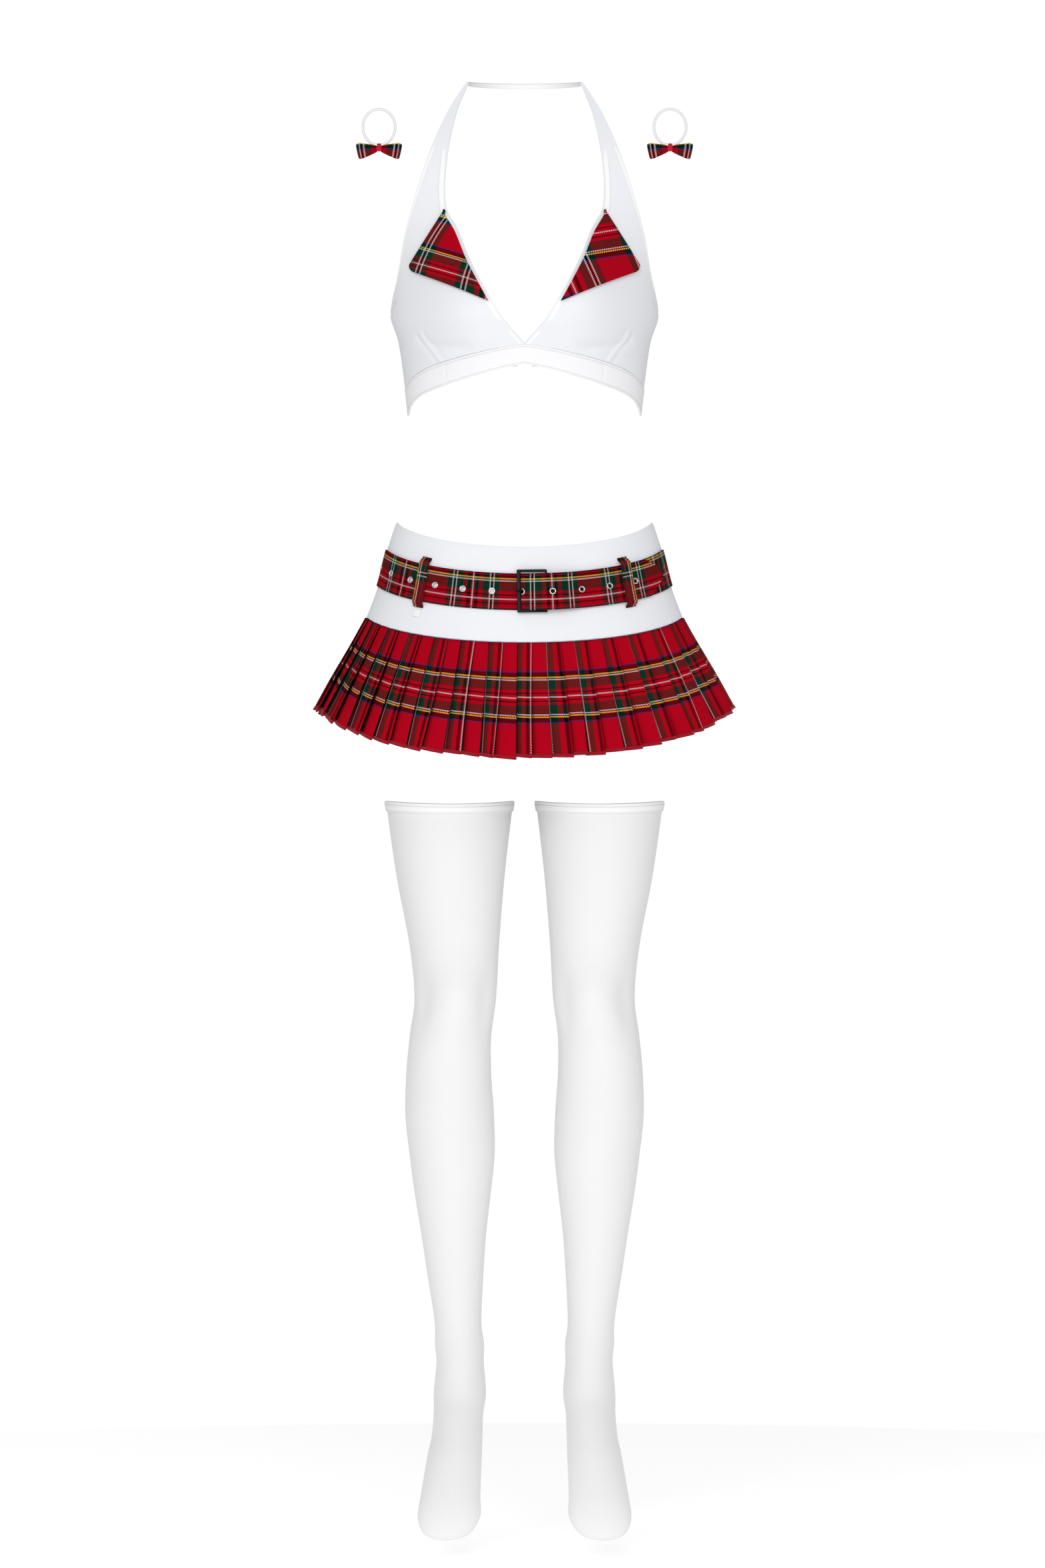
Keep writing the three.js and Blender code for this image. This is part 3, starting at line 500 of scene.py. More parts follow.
def makeThread(name, color, pitch, depth=0.3):  # cloth made of slanting threads, as overlocking or a braid
    material, tree, shader = newMaterial(name, 0.85, sheen=0.1, specular=0.15)
    u, v = clothPlace(tree)
    slant = calc(tree, "MULTIPLY_ADD", v, 1.3, calc(tree, "MULTIPLY", u, math.pi / pitch))
    ridge = calc(tree, "ABSOLUTE", calc(tree, "SINE", slant))
    tone = useGroup(tree, mottleGroup, Slow=0.08, Fine=0.1)["Tone"]
    # painted shade: darker in the grooves between the slanting threads
    tone = calc(tree, "MULTIPLY", tone, calc(tree, "MULTIPLY_ADD", ridge, depth, 1 - depth))
    tree.links.new(scaleColor(tree, color, tone), shader.inputs["Base Color"])
    addBump(tree, shader, calc(tree, "MULTIPLY", ridge, depth), 1.0, 0.8)
    return material


def makeMetal(name, color, worn, roughness, metallic, specular=0.5):
    material, tree, shader = newMaterial(name, roughness, metallic, specular=specular)
    wear = useGroup(tree, wearGroup, Amount=0.6)
    tree.links.new(mixColors(tree, wear["Edge"], color, worn), shader.inputs["Base Color"])
    scuffed = calc(tree, "MULTIPLY_ADD", wear["Scuff"], 0.16, roughness - 0.06)
    tree.links.new(scuffed, shader.inputs["Roughness"])
    addBump(tree, shader, wear["Scuff"], 0.02, 0.5)
    return material


jersey = makeKnit("whiteJersey", (0.80, 0.815, 0.85), 0.62, 0.5, 0.05)
bindingKnit = makeKnit("bindingKnit", (0.9, 0.9, 0.91), 0.6, 0.5, 0.05, rows=[("v", 1.6)])
bandKnit = makeKnit("bandKnit", (0.87, 0.87, 0.885), 0.8, 0.6, 0.06, rows=[("v", 2.0), ("v", 19.0)])
plushElastic = makeKnit("plushElastic", (0.84, 0.84, 0.85), 0.7, 0.6, 0.06, rib=1.6)
hosiery = makeKnit("hosiery", (0.79, 0.79, 0.79), 0.45, 0.4, 0.03, slow=0.02, sheen=0.3)
hosieryWelt = makeKnit("hosieryWelt", (0.88, 0.88, 0.88), 0.6, 0.5, 0.05, rows=[("v", 3.2), ("v", 9.6)])
pleatTartan = makeTartan("pleatTartan", lean=-1.0, paintedFoldShade=True)
lapelTartan = makeTartan("lapelTartan", lean=1.0)
beltTartan = makeTartan("beltTartan", lean=1.0, rows=[("v", -25.0), ("v", 8.6)], tone=0.84)
loopTartan = makeTartan("loopTartan", lean=1.0, rows=[("v", 13.4), ("v", 20.8)], tone=0.84)
ribbonTartan = makeTartan("ribbonTartan", lean=1.0, tone=0.88)
redThread = makeThread("redOverlock", (0.36, 0.001, 0.012), 0.8)
redCloth = makeKnit("redKnotCloth", (0.52, 0.004, 0.02), 0.5, 0.4, 0.06, slow=0.2)
whiteBraid = makeThread("whiteBraid", (0.78, 0.78, 0.82), 0.8, 0.05)
wovenLabel = makeKnit("wovenLabel", (0.86, 0.86, 0.86), 0.35, 0.35, 0.03, rows=[("v", 1.2)])
# black discs that stand in for the shade inside the free end's eyelet holes
eyeletHoleShadow = makeThread("eyeletHoleShadow", (0.006, 0.006, 0.006), 0.8)
blackEnamel = makeMetal("blackEnamel", (0.002, 0.002, 0.0022), (0.02, 0.02, 0.021), 0.22, 0.0, 0.09)
nickelPlate = makeMetal("nickelPlate", (0.62, 0.62, 0.61), (0.85, 0.85, 0.84), 0.22, 1.0)
print("materials made")

gap = 0.3
knitWall = 1.6
bust = {"width": 288, "depth": 196, "level": 303}
cup = {"rise": 30, "apart": 132, "level": 312, "wide": 42, "tall": 45}
underbust = {"width": 250, "depth": 176, "level": 196}
neck = {"width": 121, "level": 556.5, "strap": 6, "tip": 4, "depth": 72, "lift": 4}
band = {"height": 21, "centre": 247, "side": 224, "back": 255, "backHeight": 20, "backGap": 16, "wall": 2.2,
        "gentle": 30, "low": 36}
lapelTop = 417

chestRow = smoothRows([
    (underbust["level"] - 20, underbust["width"] / 2 - 1, underbust["depth"] / 2 - 2, 8),
    (underbust["level"], underbust["width"] / 2, underbust["depth"] / 2, 8),
    (underbust["level"] + 51, underbust["width"] / 2 + 6, underbust["depth"] / 2 + 4, 6),
    (bust["level"] - 25, bust["width"] / 2 - 8, bust["depth"] / 2 - 2, 5),
    (bust["level"], bust["width"] / 2, bust["depth"] / 2, 4),
    (bust["level"] + 47, bust["width"] / 2 + 3, bust["depth"] / 2 - 3, 4),
    (lapelTop, bust["width"] / 2 + 14, bust["depth"] / 2 - 16, 2),
    (neck["level"] - 76, bust["width"] / 2 + 21, bust["depth"] / 2 - 32, 4),
    (neck["level"], bust["width"] / 2 + 26, bust["depth"] / 2 - 68, 19),
])


def chestFront(x, z, out):
    halfWidth, halfDepth, middle = chestRow(z)
    share = clamp(x / halfWidth, -1, 1)
    turn = math.sqrt(1 - share ** 2)
    cups = sum(
        math.exp(-0.5 * (((x - side * cup["apart"] / 2) / cup["wide"]) ** 2
                         + ((z - cup["level"]) / cup["tall"]) ** 2))
        for side in (-1, 1))
    normal = Vector((share / halfWidth, turn / halfDepth)).normalized()
    deep = turn * (halfDepth + cup["rise"] * cups)
    return Vector((x + normal.x * out, middle - deep - normal.y * out, z))


def chestRound(angle, z, out):
    halfWidth, halfDepth, middle = chestRow(z)
    return Vector(((halfWidth + out) * math.sin(angle), middle - (halfDepth + out) * math.cos(angle), z))


waist = {"width": 279, "depth": 188}
hip = {"width": 343, "depth": 232, "back": 4}
hem = {"width": 450, "depth": 300}
yoke = {"top": 80, "seam": -23, "dip": 29}
skirt = {"hem": -121, "dip": 55, "backDip": 50, "pleats": 60}
belt = {"height": 39.4, "level": 31, "stand": 0.9, "wall": 1.2, "tip": 146, "taper": 15, "tipHeight": 9}


def hipShare(key, across, deep):
    halfWidth = between(waist["width"], hip["width"], across) / 2
    return (key, halfWidth, between(waist["depth"], hip["depth"], deep) / 2)


hipRow = smoothRows([
    hipShare(yoke["top"], 0, 0),
    hipShare(belt["level"] + 20, 0.29, 0.25),
    hipShare(belt["level"] - 20, 0.61, 0.6),
    hipShare(yoke["seam"], 1, 1),
])


def ovalTable(halfWidth, halfDepth, steps):  # distance round an oval at even steps of the angle
    table = [0.0]
    for i in range(steps):
        angle = (i + 0.5) / steps * fullTurn
        table.append(table[-1] + fullTurn / steps * math.hypot(
            halfWidth * math.cos(angle), halfDepth * math.sin(angle)))
    return table


def dipShape(angle):
    soft = 0.25
    return (math.hypot(math.cos(angle), soft) - soft) / (math.hypot(1, soft) - soft)


def hipRound(angle, level, out):
    halfWidth, halfDepth = hipRow(max(level, yoke["seam"]))
    dip = yoke["dip"]
    if level < yoke["seam"]:
        down = (yoke["seam"] - level) / (yoke["seam"] - skirt["hem"])
        halfWidth = between(hip["width"], hem["width"], down) / 2
        halfDepth = between(hip["depth"], hem["depth"], down) / 2
        dip = between(yoke["dip"], skirt["dip"] if math.cos(angle) > 0 else skirt["backDip"], down)
    normal = Vector((math.sin(angle) / halfWidth, math.cos(angle) / halfDepth)).normalized()
    return Vector((
        halfWidth * math.sin(angle) + normal.x * out,
        hip["back"] - halfDepth * math.cos(angle) - normal.y * out,
        level - dip * dipShape(angle)))


def flatCloth(width, length):  # cloth place on a plain piece, unrolled
    return lambda u, v, p: (u * width, v * length)


def roundCloth(radius):  # cloth place on a garment that goes round the body
    return lambda u, v, p: (radius * math.atan2(p.x, -p.y), p.z)


def bandTop(share):
    high = band["centre"] + band["height"] - band["gentle"] * share ** 1.3
    return high - (band["centre"] + band["height"] - band["gentle"] - band["side"]) * share ** 12


def bandBottom(share):
    low = band["centre"] - band["low"] * share ** 1.2
    return low - (band["centre"] - band["low"] - underbust["level"]) * share ** 20


sideShare = 4 / 15
sideEnd = math.pi / 2 - 0.004
necklineTop = 84.6
necklineEdge = smoothRows([
    (0, 0, bandTop(0) + gap), (0.12, 27, 300), (sideShare, 57.6, 356), (0.38, 72, 392),
    (0.48, necklineTop, lapelTop), (0.7, 84, 467), (0.88, 74, 520), (1, neck["width"] / 2, neck["level"]),
])
armholeEdge = smoothRows([
    (0, underbust["width"] / 2 + 4, bandTop(1) + gap), (0.12, 134, 262),
    (sideShare, bust["width"] / 2, bust["level"]), (0.38, 135, 350), (0.48, 128, 391), (0.7, 107, 465),
    (0.88, 84, 521), (1, neck["width"] / 2 + 2, neck["level"] + 1),
])
dart = {
    "line": [(113.8, 287.8), (107.8, 273.6), (97.6, 261.5), (86, 247)],  # x and height, down to the band
    "rise": 1.1, "wide": 1.9, "tuck": 0.7,
}
crease = {"line": [(118, 276), (95.8, 267), (69.4, 265), (56, 267)], "deep": 3.2, "wide": 6.0}


def seamRelief(x, z):  # the bust dart stands up, and the cloth tucks in under the bust
    x = abs(x)
    if not (40 < x < 140 and 230 < z < 300):
        return 0.0
    far, along = lineDistance(x, z, dart["line"])
    fade = ease(along * 5) * ease((1.02 - along) * 12)
    relief = dart["rise"] * bell(far, dart["wide"]) * fade
    relief -= dart["tuck"] * bell(abs(far) - 3.2, 2.2) * fade
    far, along = lineDistance(x, z, crease["line"])
    relief -= crease["deep"] * bell(far, crease["wide"]) * math.sin(math.pi * clamp(along)) ** 0.7
    return relief


def frontPoint(side, u, v, out):
    innerX, innerZ = necklineEdge(u)
    outerX, outerZ = armholeEdge(u)
    straight = between(innerZ, outerZ, v)
    halfWidth = chestRow(straight)[0]
    first = math.asin(max(innerX, gap / 2) / halfWidth)
    last = sideEnd if u < sideShare else min(math.asin(min(outerX / chestRow(outerZ)[0], 1)), sideEnd)
    turn = math.sin(between(first, last, v))
    overBand = bandTop(abs(math.sin(v * sideEnd))) + gap - between(necklineEdge(0)[1], armholeEdge(0)[1], v)
    z = straight + overBand * max(0, 1 - u / 0.25)
    x = side * halfWidth * turn
    return chestFront(x, z, out + seamRelief(x, z))


bindingCut = {"neckline": 8, "armhole": 7, "front": 1.75, "back": -2.3, "roll": 0.5}


# The binding runs from its stitched line on the face, over the raw edge and on to the back.
def bindingPoint(side, u, v, out, edge):
    middle = frontPoint(side, u, 0.5, 0)
    across = (frontPoint(side, u, 0, 0) - middle).length + (frontPoint(side, u, 1, 0) - middle).length
    share = min(bindingCut[edge] / across, 0.46)
    roll = bindingCut["roll"] / across
    if v < 0.45:
        t = v / 0.45
        place = between(share, 0, t)
        height = between(1.4, bindingCut["front"], math.sin(t * math.pi) ** 0.4)
    elif v < 0.6:
        t = (v - 0.45) / 0.15
        place = -roll * math.sin(t * math.pi)
        height = between(1.4, bindingCut["back"] + 1, t)
    else:
        t = (v - 0.6) / 0.4
        place, height = share * t, bindingCut["back"] + 1
    if edge == "armhole":
        place = 1 - place
        height -= 1.6 * (1 - ease((u - sideShare) * 12))
    return frontPoint(side, u, place, height + out)


lapelCut = {
    "from": 0.475, "to": 0.163, "lower": 3.0, "corner": (124, 353.5), "inset": 1.5, "wall": 1.8,
    "foot": knitWall + gap + 1 + 2 * gap, "corners": 0.1,
}


def softCorner(u, v, size):  # rounds the outer lower corner of a square of cloth
    du, dv = u - 1 + size, v - 1 + size
    if du <= 0 or dv <= 0:
        return u, v
    pull = max(du, dv) / math.hypot(du, dv)
    return 1 - size + du * pull, 1 - size + dv * pull


def lapelPoint(side, u, v, out):
    u, v = softCorner(u, v, lapelCut["corners"])
    edgeX, edgeZ = necklineEdge(between(lapelCut["from"], lapelCut["to"], u))
    x = between(edgeX, between(necklineTop, lapelCut["corner"][0], u), v)
    z = between(edgeZ, between(lapelTop, lapelCut["corner"][1], u), v) - lapelCut["lower"]
    lift = lapelCut["foot"] + 0.5 * math.sin(math.pi * v) * math.sin(math.pi * u)
    return chestFront(side * (x + lapelCut["inset"] * (1 - v)), z, lift + out)


def leftLapelCloth(u, v, p):  # the grain leans and bends over the collar's fold
    x, z = p.x + 83, p.z - 345
    return (0.793 * x - 0.254 * z - 0.00279 * z * z + 45, 0.40 * x + 1.117 * z)


def rightLapelCloth(u, v, p):
    return (0.75 * (p.x - 76.2) + 0.33 * (p.z - 334) + 20.1, 0.21 * (p.x - 90) - 0.95 * (p.z - 390))


def makeTop():
    for name, side in (("left", -1), ("right", 1)):
        panel = sheetMesh(
            f"{name}_cup_panel", functools.partial(frontPoint, side), 150, 72, roundCloth(130))
        thicken(panel, knitWall, 1.0)
        dress(panel, jersey, "top", [f"{name}_cup"])
        for edge, start in (("neckline", 0.0), ("armhole", sideShare)):
            strip = sheetMesh(
                f"{name}_{edge}_bound_edge",
                lambda u, v, out: bindingPoint(side, between(start, 1, u), v, out, edge), 90, 14,
                lambda u, v, p: (u * 330 * (1 - start), v / 0.45 * bindingCut[edge]))
            thicken(strip, 0.45, 1.0, 0.15, 1)
            dress(strip, bindingKnit, "top", [f"{name}_{edge}_binding"])

        flap = sheetMesh(
            f"{name}_lapel_cloth", functools.partial(lapelPoint, side), 60, 36,
            leftLapelCloth if side < 0 else rightLapelCloth)
        thicken(flap, lapelCut["wall"], 1.0, 0.6, 3)
        dress(flap, lapelTartan, f"{name}_lapel_flap", [f"{name}_lapel"])

        backEnd = math.pi - band["backGap"] / 2 / chestRow(band["back"])[0]

        def wingPoint(u, v, out):
            angle = side * between(math.pi - sideEnd, backEnd, u)
            fall = math.sin(u * math.pi / 2)
            low = between(underbust["level"] + gap, band["back"], fall)
            high = between(bust["level"] - 3, band["back"] + band["backHeight"], fall)
            ruck = 0.5 * math.sin(u * 40) * ease((u - 0.75) * 4) * math.sin(v * math.pi)
            return chestRound(angle, between(high, low, v), out + ruck)

        wing = sheetMesh(f"{name}_wing_panel", wingPoint, 90, 32, roundCloth(130))
        thicken(wing, knitWall, 1.0, 0.5, 3)
        dress(wing, jersey, "top", [f"{name}_back_wing"])

    def bandPoint(u, v, out):
        turn = math.sin(between(-sideEnd, sideEnd, u))
        share = abs(turn)
        z = between(bandTop(share) - gap, bandBottom(share), v)
        x = chestRow(z)[0] * turn
        seam = -0.5 * (bell(abs(x) - 84, 0.9))
        return chestFront(x, z, out + seam)

    front = sheetMesh(
        "underbust_band_rib", bandPoint, 200, 18, flatCloth(330, band["height"]))
    thicken(front, band["wall"], 1.0, 0.7, 3)
    dress(front, bandKnit, "top", ["underbust_band"])

    def neckPoint(u, v, out):
        angle = between(-math.pi / 2, math.pi / 2, u)
        tip = chestFront(neck["width"] / 2, neck["level"], 0)
        height = between(neck["tip"], neck["strap"], math.cos(angle) ** 0.5)
        return Vector((
            math.sin(angle) * (neck["width"] / 2 + out),
            tip.y + 2 + gap + math.cos(angle) * (neck["depth"] + out),
            neck["level"] - 1 + neck["lift"] * math.cos(angle) + height * (0.5 - v)))

    strap = sheetMesh("neck_strap_loop", neckPoint, 90, 8, flatCloth(180, 13))
    thicken(strap, knitWall, 1.0, 0.6, 3)
    dress(strap, bindingKnit, "top", ["neck_strap"])
    print("halter top made")


clasp = {"height": 16, "wire": 0.8, "reach": 8}


def makeClasp():
    at = chestRound(math.pi, band["back"] + band["backHeight"] / 2, 0)
    half, reach = clasp["height"] / 2, clasp["reach"]

    def wirePath(corners):
        points = []
        for i in range(len(corners) - 1):
            a, b = Vector(corners[i]), Vector(corners[i + 1])
            points += [at + a.lerp(b, t / 6) for t in range(6)]
        return points + [at + Vector(corners[-1])]

    eye = wirePath([
        (reach - 1, 1, half - 2), (reach - 1.6, 1, half - 1), (1.6, 1, half - 1), (1, 1, half - 2),
        (1, 1, 2 - half), (1.6, 1, 1 - half), (reach - 1.6, 1, 1 - half), (reach - 1, 1, 2 - half),
        (reach - 1, 1, half - 2)])
    hook = wirePath([
        (1 - reach, 1, half - 2), (1.6 - reach, 1, half - 1), (-2.4, 1, half - 1), (-1.8, 1, half - 2),
        (-1.8, 1, 3.4), (-1.6, 1.5, 2.6), (-0.9, 1.9, 0), (-1.6, 1.5, -2.6), (-1.8, 1, -3.4),
        (-1.8, 1, 2 - half), (-2.4, 1, 1 - half), (1.6 - reach, 1, 1 - half), (1 - reach, 1, 2 - half),
        (1 - reach, 1, half - 2)])
    for name, path, node in (("eye_wire", eye, "back_eye"), ("hook_wire", hook, "back_hook")):
        wire = barMesh(name, path, clasp["wire"], 10, closed=True, up=Vector((0, 1, 0)))
        dress(wire, nickelPlate, "top", [node])
    print("back clasp made")


def makeYoke():
    def yokePoint(u, v, out):
        angle = u * fullTurn
        level = between(yoke["top"], yoke["seam"], v)
        pull = 0.35 * noise.noise(Vector((math.sin(angle) * 2.2, math.cos(angle) * 2.2, level / 60)))
        roll = -0.7 * bell(v * 100, 2.2)
        return hipRound(angle, level, out + pull + roll)

    panel = sheetMesh(
        "hip_yoke_panel", yokePoint, 220, 48, flatCloth(970, 103), joined=True)
    thicken(panel, knitWall, -1.0, 0.5, 3)
    dress(panel, jersey, "skirt", ["hip_yoke"])

    def elasticPoint(u, v, out):
        return hipRound(u * fullTurn, yoke["top"] - 1 - 10 * v, out - knitWall - gap)

    ring = sheetMesh(
        "waist_elastic_band", elasticPoint, 160, 6, flatCloth(720, 10), joined=True)
    thicken(ring, 1.0, -1.0, 0.3, 2)
    dress(ring, plushElastic, "skirt", ["waist_elastic"])
    print("yoke made")


pleat = {
    "seamStand": 2.2, "hemStand": 4.6, "under": 0.86, "layer": 0.75, "cloth": 0.55, "shift": 0.47,
    "weftAtSeam": -58.75, "weftAtHem": 63.8, "plainFrom": 46.0, "edge": 0.9,
}
# where each of the two kinds of pleat face starts and folds on the warp, in mm
pleatWindow = [{"start": 28.6, "fold": 43.2, "opens": 1.2}, {"start": 65.3, "fold": 82.4, "opens": 5.6}]


def pleatDraws():
    draw = random.Random(7)
    return [{
        "drift": draw.uniform(-1.3, 1.3), "swing": draw.uniform(-0.16, 0.16),
        "open": draw.uniform(0.6, 1.3),
        "opens": draw.uniform(0, 1), "drop": draw.uniform(-0.9, 0.9), "tilt": draw.uniform(0.2, 1.5),
        "bow": draw.uniform(-0.06, 0.06), "roll": draw.uniform(-0.6, 1.2),
    } for k in range(skirt["pleats"])]


pleatDraw = pleatDraws()


# stations across one pleat: (place across it, layer, share of its cloth)
def pleatStations():
    shown = (0.0, 0.05, 0.1, 0.18, 0.3, 0.45, 0.6, 0.75, 0.9, 1.0)
    under = pleat["under"]
    stations = [(t, 0, t) for t in shown] + [(1.012, 0.35, 1.01), (0.995, 1, 1.04)]
    stations += [(1 - under * t, 1, 1 + t) for t in (0.5, 0.97)]
    stations += [(1 - under * 1.01, 1.5, 2.0)]
    return stations + [(1 - under * t, 2, 3 - t) for t in (0.97, 0.5)]


pleatProfile = pleatStations()


hipTable = ovalTable(*hipRow(yoke["seam"]), 1200)  # the pleats are spaced evenly round the hips


def evenAngle(turn):
    whole, part = divmod(turn, 1)
    i = bisect.bisect_right(hipTable, part * hipTable[-1]) - 1
    rest = (part * hipTable[-1] - hipTable[i]) / (hipTable[i + 1] - hipTable[i])
    return (whole + (i + rest) / (len(hipTable) - 1)) * fullTurn


def pleatPoint(column, v, out):
    count = len(pleatProfile)
    k, i = (column // count) % skirt["pleats"], column % count
    place, layer, _ = pleatProfile[i]
    here, after = pleatDraw[k], pleatDraw[(k + 1) % skirt["pleats"]]
    swings = [d["swing"] * v ** 1.5 + d["bow"] * math.sin(v * math.pi) for d in (here, after)]
    across = place + between(swings[0], swings[1], clamp(place))
    stand = between(pleat["seamStand"], pleat["hemStand"] * here["open"], ease(v * 1.3))
    facing = clamp(place)
    if layer < 1:
        belly = here["roll"] * v * math.sin(facing * math.pi)
        height = 0.4 + stand * facing ** 0.8 + belly - layer * 0.8
    elif layer < 2:
        height = max(0.4 + stand * facing ** 0.8 - pleat["layer"] * layer, 0.1 + 0.5 * facing)
    else:
        height = between(-0.6, 0.35, facing)
    ripple = noise.noise(Vector((math.sin(k * fullTurn / 60) * 4, math.cos(k * fullTurn / 60) * 4, 3.1)))
    level = between(yoke["seam"] - 0.6, skirt["hem"], v)
    level += v * (here["drop"] - here["tilt"] * (facing - 0.5) * (1 if layer < 1 else 0.4))
    if layer >= 1:
        level += 1.2 * v
    angle = evenAngle((column // count + pleat["shift"] + across) / skirt["pleats"])
    return hipRound(angle, level, height + 1.2 * v * ripple + out - 1.2)


def pleatCloth(column, v):
    count = len(pleatProfile)
    k, i = column // count, column % count
    here, after = pleatDraw[k % skirt["pleats"]], pleatDraw[(k + 1) % skirt["pleats"]]

    def starts(number, draw):
        window = pleatWindow[number % 2]
        return window["start"] - window["opens"] * draw["opens"] * v ** 1.4 + draw["drift"]

    start, fold = starts(k, here), pleatWindow[k % 2]["fold"] + here["drift"]
    following = starts(k + 1, after) + (83 if k % 2 else 0)
    share = pleatProfile[i][2]
    warp = between(start, fold, share) if share <= 1 else between(fold, following, (share - 1) / 2)
    weft = between(pleat["weftAtSeam"], pleat["weftAtHem"], v)
    plain = max(0.0, weft - pleat["plainFrom"])  # the red ground runs on down to the hem
    return (warp + 83 * (k // 2), weft - 0.32 * plain)


def makePleats():
    count = len(pleatProfile)
    columns = count * skirt["pleats"]

    # painted shade: 1 on the hidden layers and at the tucked edge of each shown face, fading over a width
    # that grows towards the hem
    def paintedFoldShade(u, v):
        column = round(u * columns)
        place, layer, _ = pleatProfile[column % count]
        if layer:
            return 1.0
        deep = 0.1 + 0.27 * v * pleatDraw[column // count % skirt["pleats"]]["open"]
        return clamp(1 - place / deep) ** 1.3

    cloth = sheetMesh(
        "pleated_tartan", lambda u, v, out: pleatPoint(round(u * columns), v, out), columns, 26,
        lambda u, v, p: pleatCloth(round(u * columns), v), joined=True, shadow=paintedFoldShade)
    thicken(cloth, pleat["cloth"], 0.0, 0)
    dress(cloth, pleatTartan, "skirt", ["pleated_skirt"])
    edge = sheetMesh(
        "hem_overlock", lambda u, v, out: pleatPoint(round(u * columns), between(0.975, 1.004, v), out),
        columns, 2, lambda u, v, p: (u * skirt["pleats"] * 41.5, v * 2.8), joined=True)
    thicken(edge, pleat["edge"] + pleat["cloth"], 0.0, 0)
    dress(edge, redThread, "skirt")
    print("pleats made")


beltHalfWidth, beltHalfDepth = hipRow(belt["level"])
buckle = {"left": -8.3, "right": 24.2, "height": 47, "bar": 4.4, "sideBar": 2.8, "hingeBar": 2.2,
          "thick": 2, "stand": 3.7}
prong = {"wire": 1.5, "width": 2.4, "reach": 1.8, "wall": 0.9}
eyelet = {"outer": 3.7, "hole": 2.25, "pitch": 32, "first": -2.9, "lip": 0.75, "left": 6, "right": 4}
underStrap = belt["stand"] + belt["wall"] / 2
overStrap = underStrap + belt["wall"] + gap
hingeX = buckle["right"] - buckle["hingeBar"] / 2
hingeOut = buckle["stand"] + 0.5 + buckle["thick"] / 2
overFold = hingeOut + buckle["thick"] / 2 + gap + belt["wall"] / 2
overHinge = overFold + belt["wall"] + 0.7
firstLine = 28.6  # along the belt from its middle to a single white line


def frontAngle(x):
    return math.asin(x / beltHalfWidth)


arcTable = ovalTable(beltHalfWidth, beltHalfDepth, 4000)
beltRound = arcTable[-1]


def arcAt(angle):  # distance along the belt from the middle of the front
    turns, rest = divmod(angle / fullTurn, 1)
    place = rest * (len(arcTable) - 1)
    i = min(int(place), len(arcTable) - 2)
    return turns * beltRound + between(arcTable[i], arcTable[i + 1], place - i)


def angleAt(distance):
    low, high = -fullTurn, 2 * fullTurn
    for _ in range(40):
        middle = (low + high) / 2
        if arcAt(middle) < distance:
            low = middle
        else:
            high = middle
    return low


# the strap's middle as (x, height off the yoke), folded round the hinge bar and up through the buckle
foldPath = [
    (hingeX + 24, underStrap + belt["wall"] + 0.7), (hingeX + 16, overFold - 1.4),
    (hingeX + 8, overFold - 0.3), (hingeX, overFold), (hingeX - 3, overFold - 0.7),
    (hingeX - 4.2, hingeOut), (hingeX - 3, underStrap + 1), (hingeX, underStrap + 0.3),
]
risePath = [
    (-34, underStrap), (-20, underStrap + 0.1), (-9, underStrap + 0.4), (-6, underStrap + 0.6),
    (eyelet["first"], underStrap + 1.5), (0, underStrap + 2.3),
    (6, between(underStrap + 2.3, overHinge, 0.4)),
    (13, between(underStrap + 2.3, overHinge, 0.8)), (hingeX - 3, overHinge), (hingeX + 6, overHinge),
    (hingeX + 12, overHinge - 0.4), (hingeX + 18, overHinge - 1.2), (hingeX + 26, overHinge - 2.6),
    (hingeX + 34, overStrap + 1.3), (hingeX + 44, overStrap + 0.2), (hingeX + 52, overStrap),
]
riseHeight = smoothRows([(-belt["tip"], underStrap), *risePath, (belt["tip"], overStrap)])


def strapStations():  # (angle, height) all along the strap: the fold, round the back, the free end
    fold = smoothPath([Vector((arcAt(frontAngle(x)), out)) for x, out in foldPath], 5)
    stations = [(angleAt(p.x), p.y) for p in fold]
    start, end = arcAt(frontAngle(hingeX)), arcAt(fullTurn + frontAngle(-34))
    count = int((end - start) / 5)
    stations += [
        (angleAt(between(start, end, i / count)), between(underStrap + 0.3, underStrap, clamp(i / 3)))
        for i in range(count)]
    tipAngle = fullTurn + frontAngle(belt["tip"])
    first, last = end, arcAt(tipAngle)
    count = int((last - first) / 1.6)
    for i in range(count + 1):
        angle = angleAt(between(first, last, i / count))
        stations.append((angle, riseHeight(beltHalfWidth * math.sin(angle))[0]))
    return stations


def beltFrame(angle, height):
    reach = 0.01
    left = hipRound(angle - reach, belt["level"], height(angle - reach))
    right = hipRound(angle + reach, belt["level"], height(angle + reach))
    along = (right - left).normalized()
    up = (hipRound(angle, belt["level"] + 10, 0) - hipRound(angle, belt["level"] - 10, 0)).normalized()
    back = up.cross(along).normalized()
    up = along.cross(back)
    middle = hipRound(angle, belt["level"], height(angle))
    turned = Matrix((along, back, up)).transposed().to_4x4()
    return Matrix.Translation(middle) @ turned


def strapOut(angle):
    near = beltHalfWidth * math.sin(angle)
    return riseHeight(near)[0] if math.cos(angle) > 0 and abs(near) < belt["tip"] else underStrap


eyeletCount = int((beltRound - 100) / eyelet["pitch"])
eyeletPlaces = [eyelet["first"] + i * eyelet["pitch"] for i in range(-eyelet["left"], eyelet["right"] + 1)]
backPlaces = [
    eyelet["first"] - i * eyelet["pitch"] for i in range(eyelet["left"] + 1, eyeletCount - eyelet["right"])]


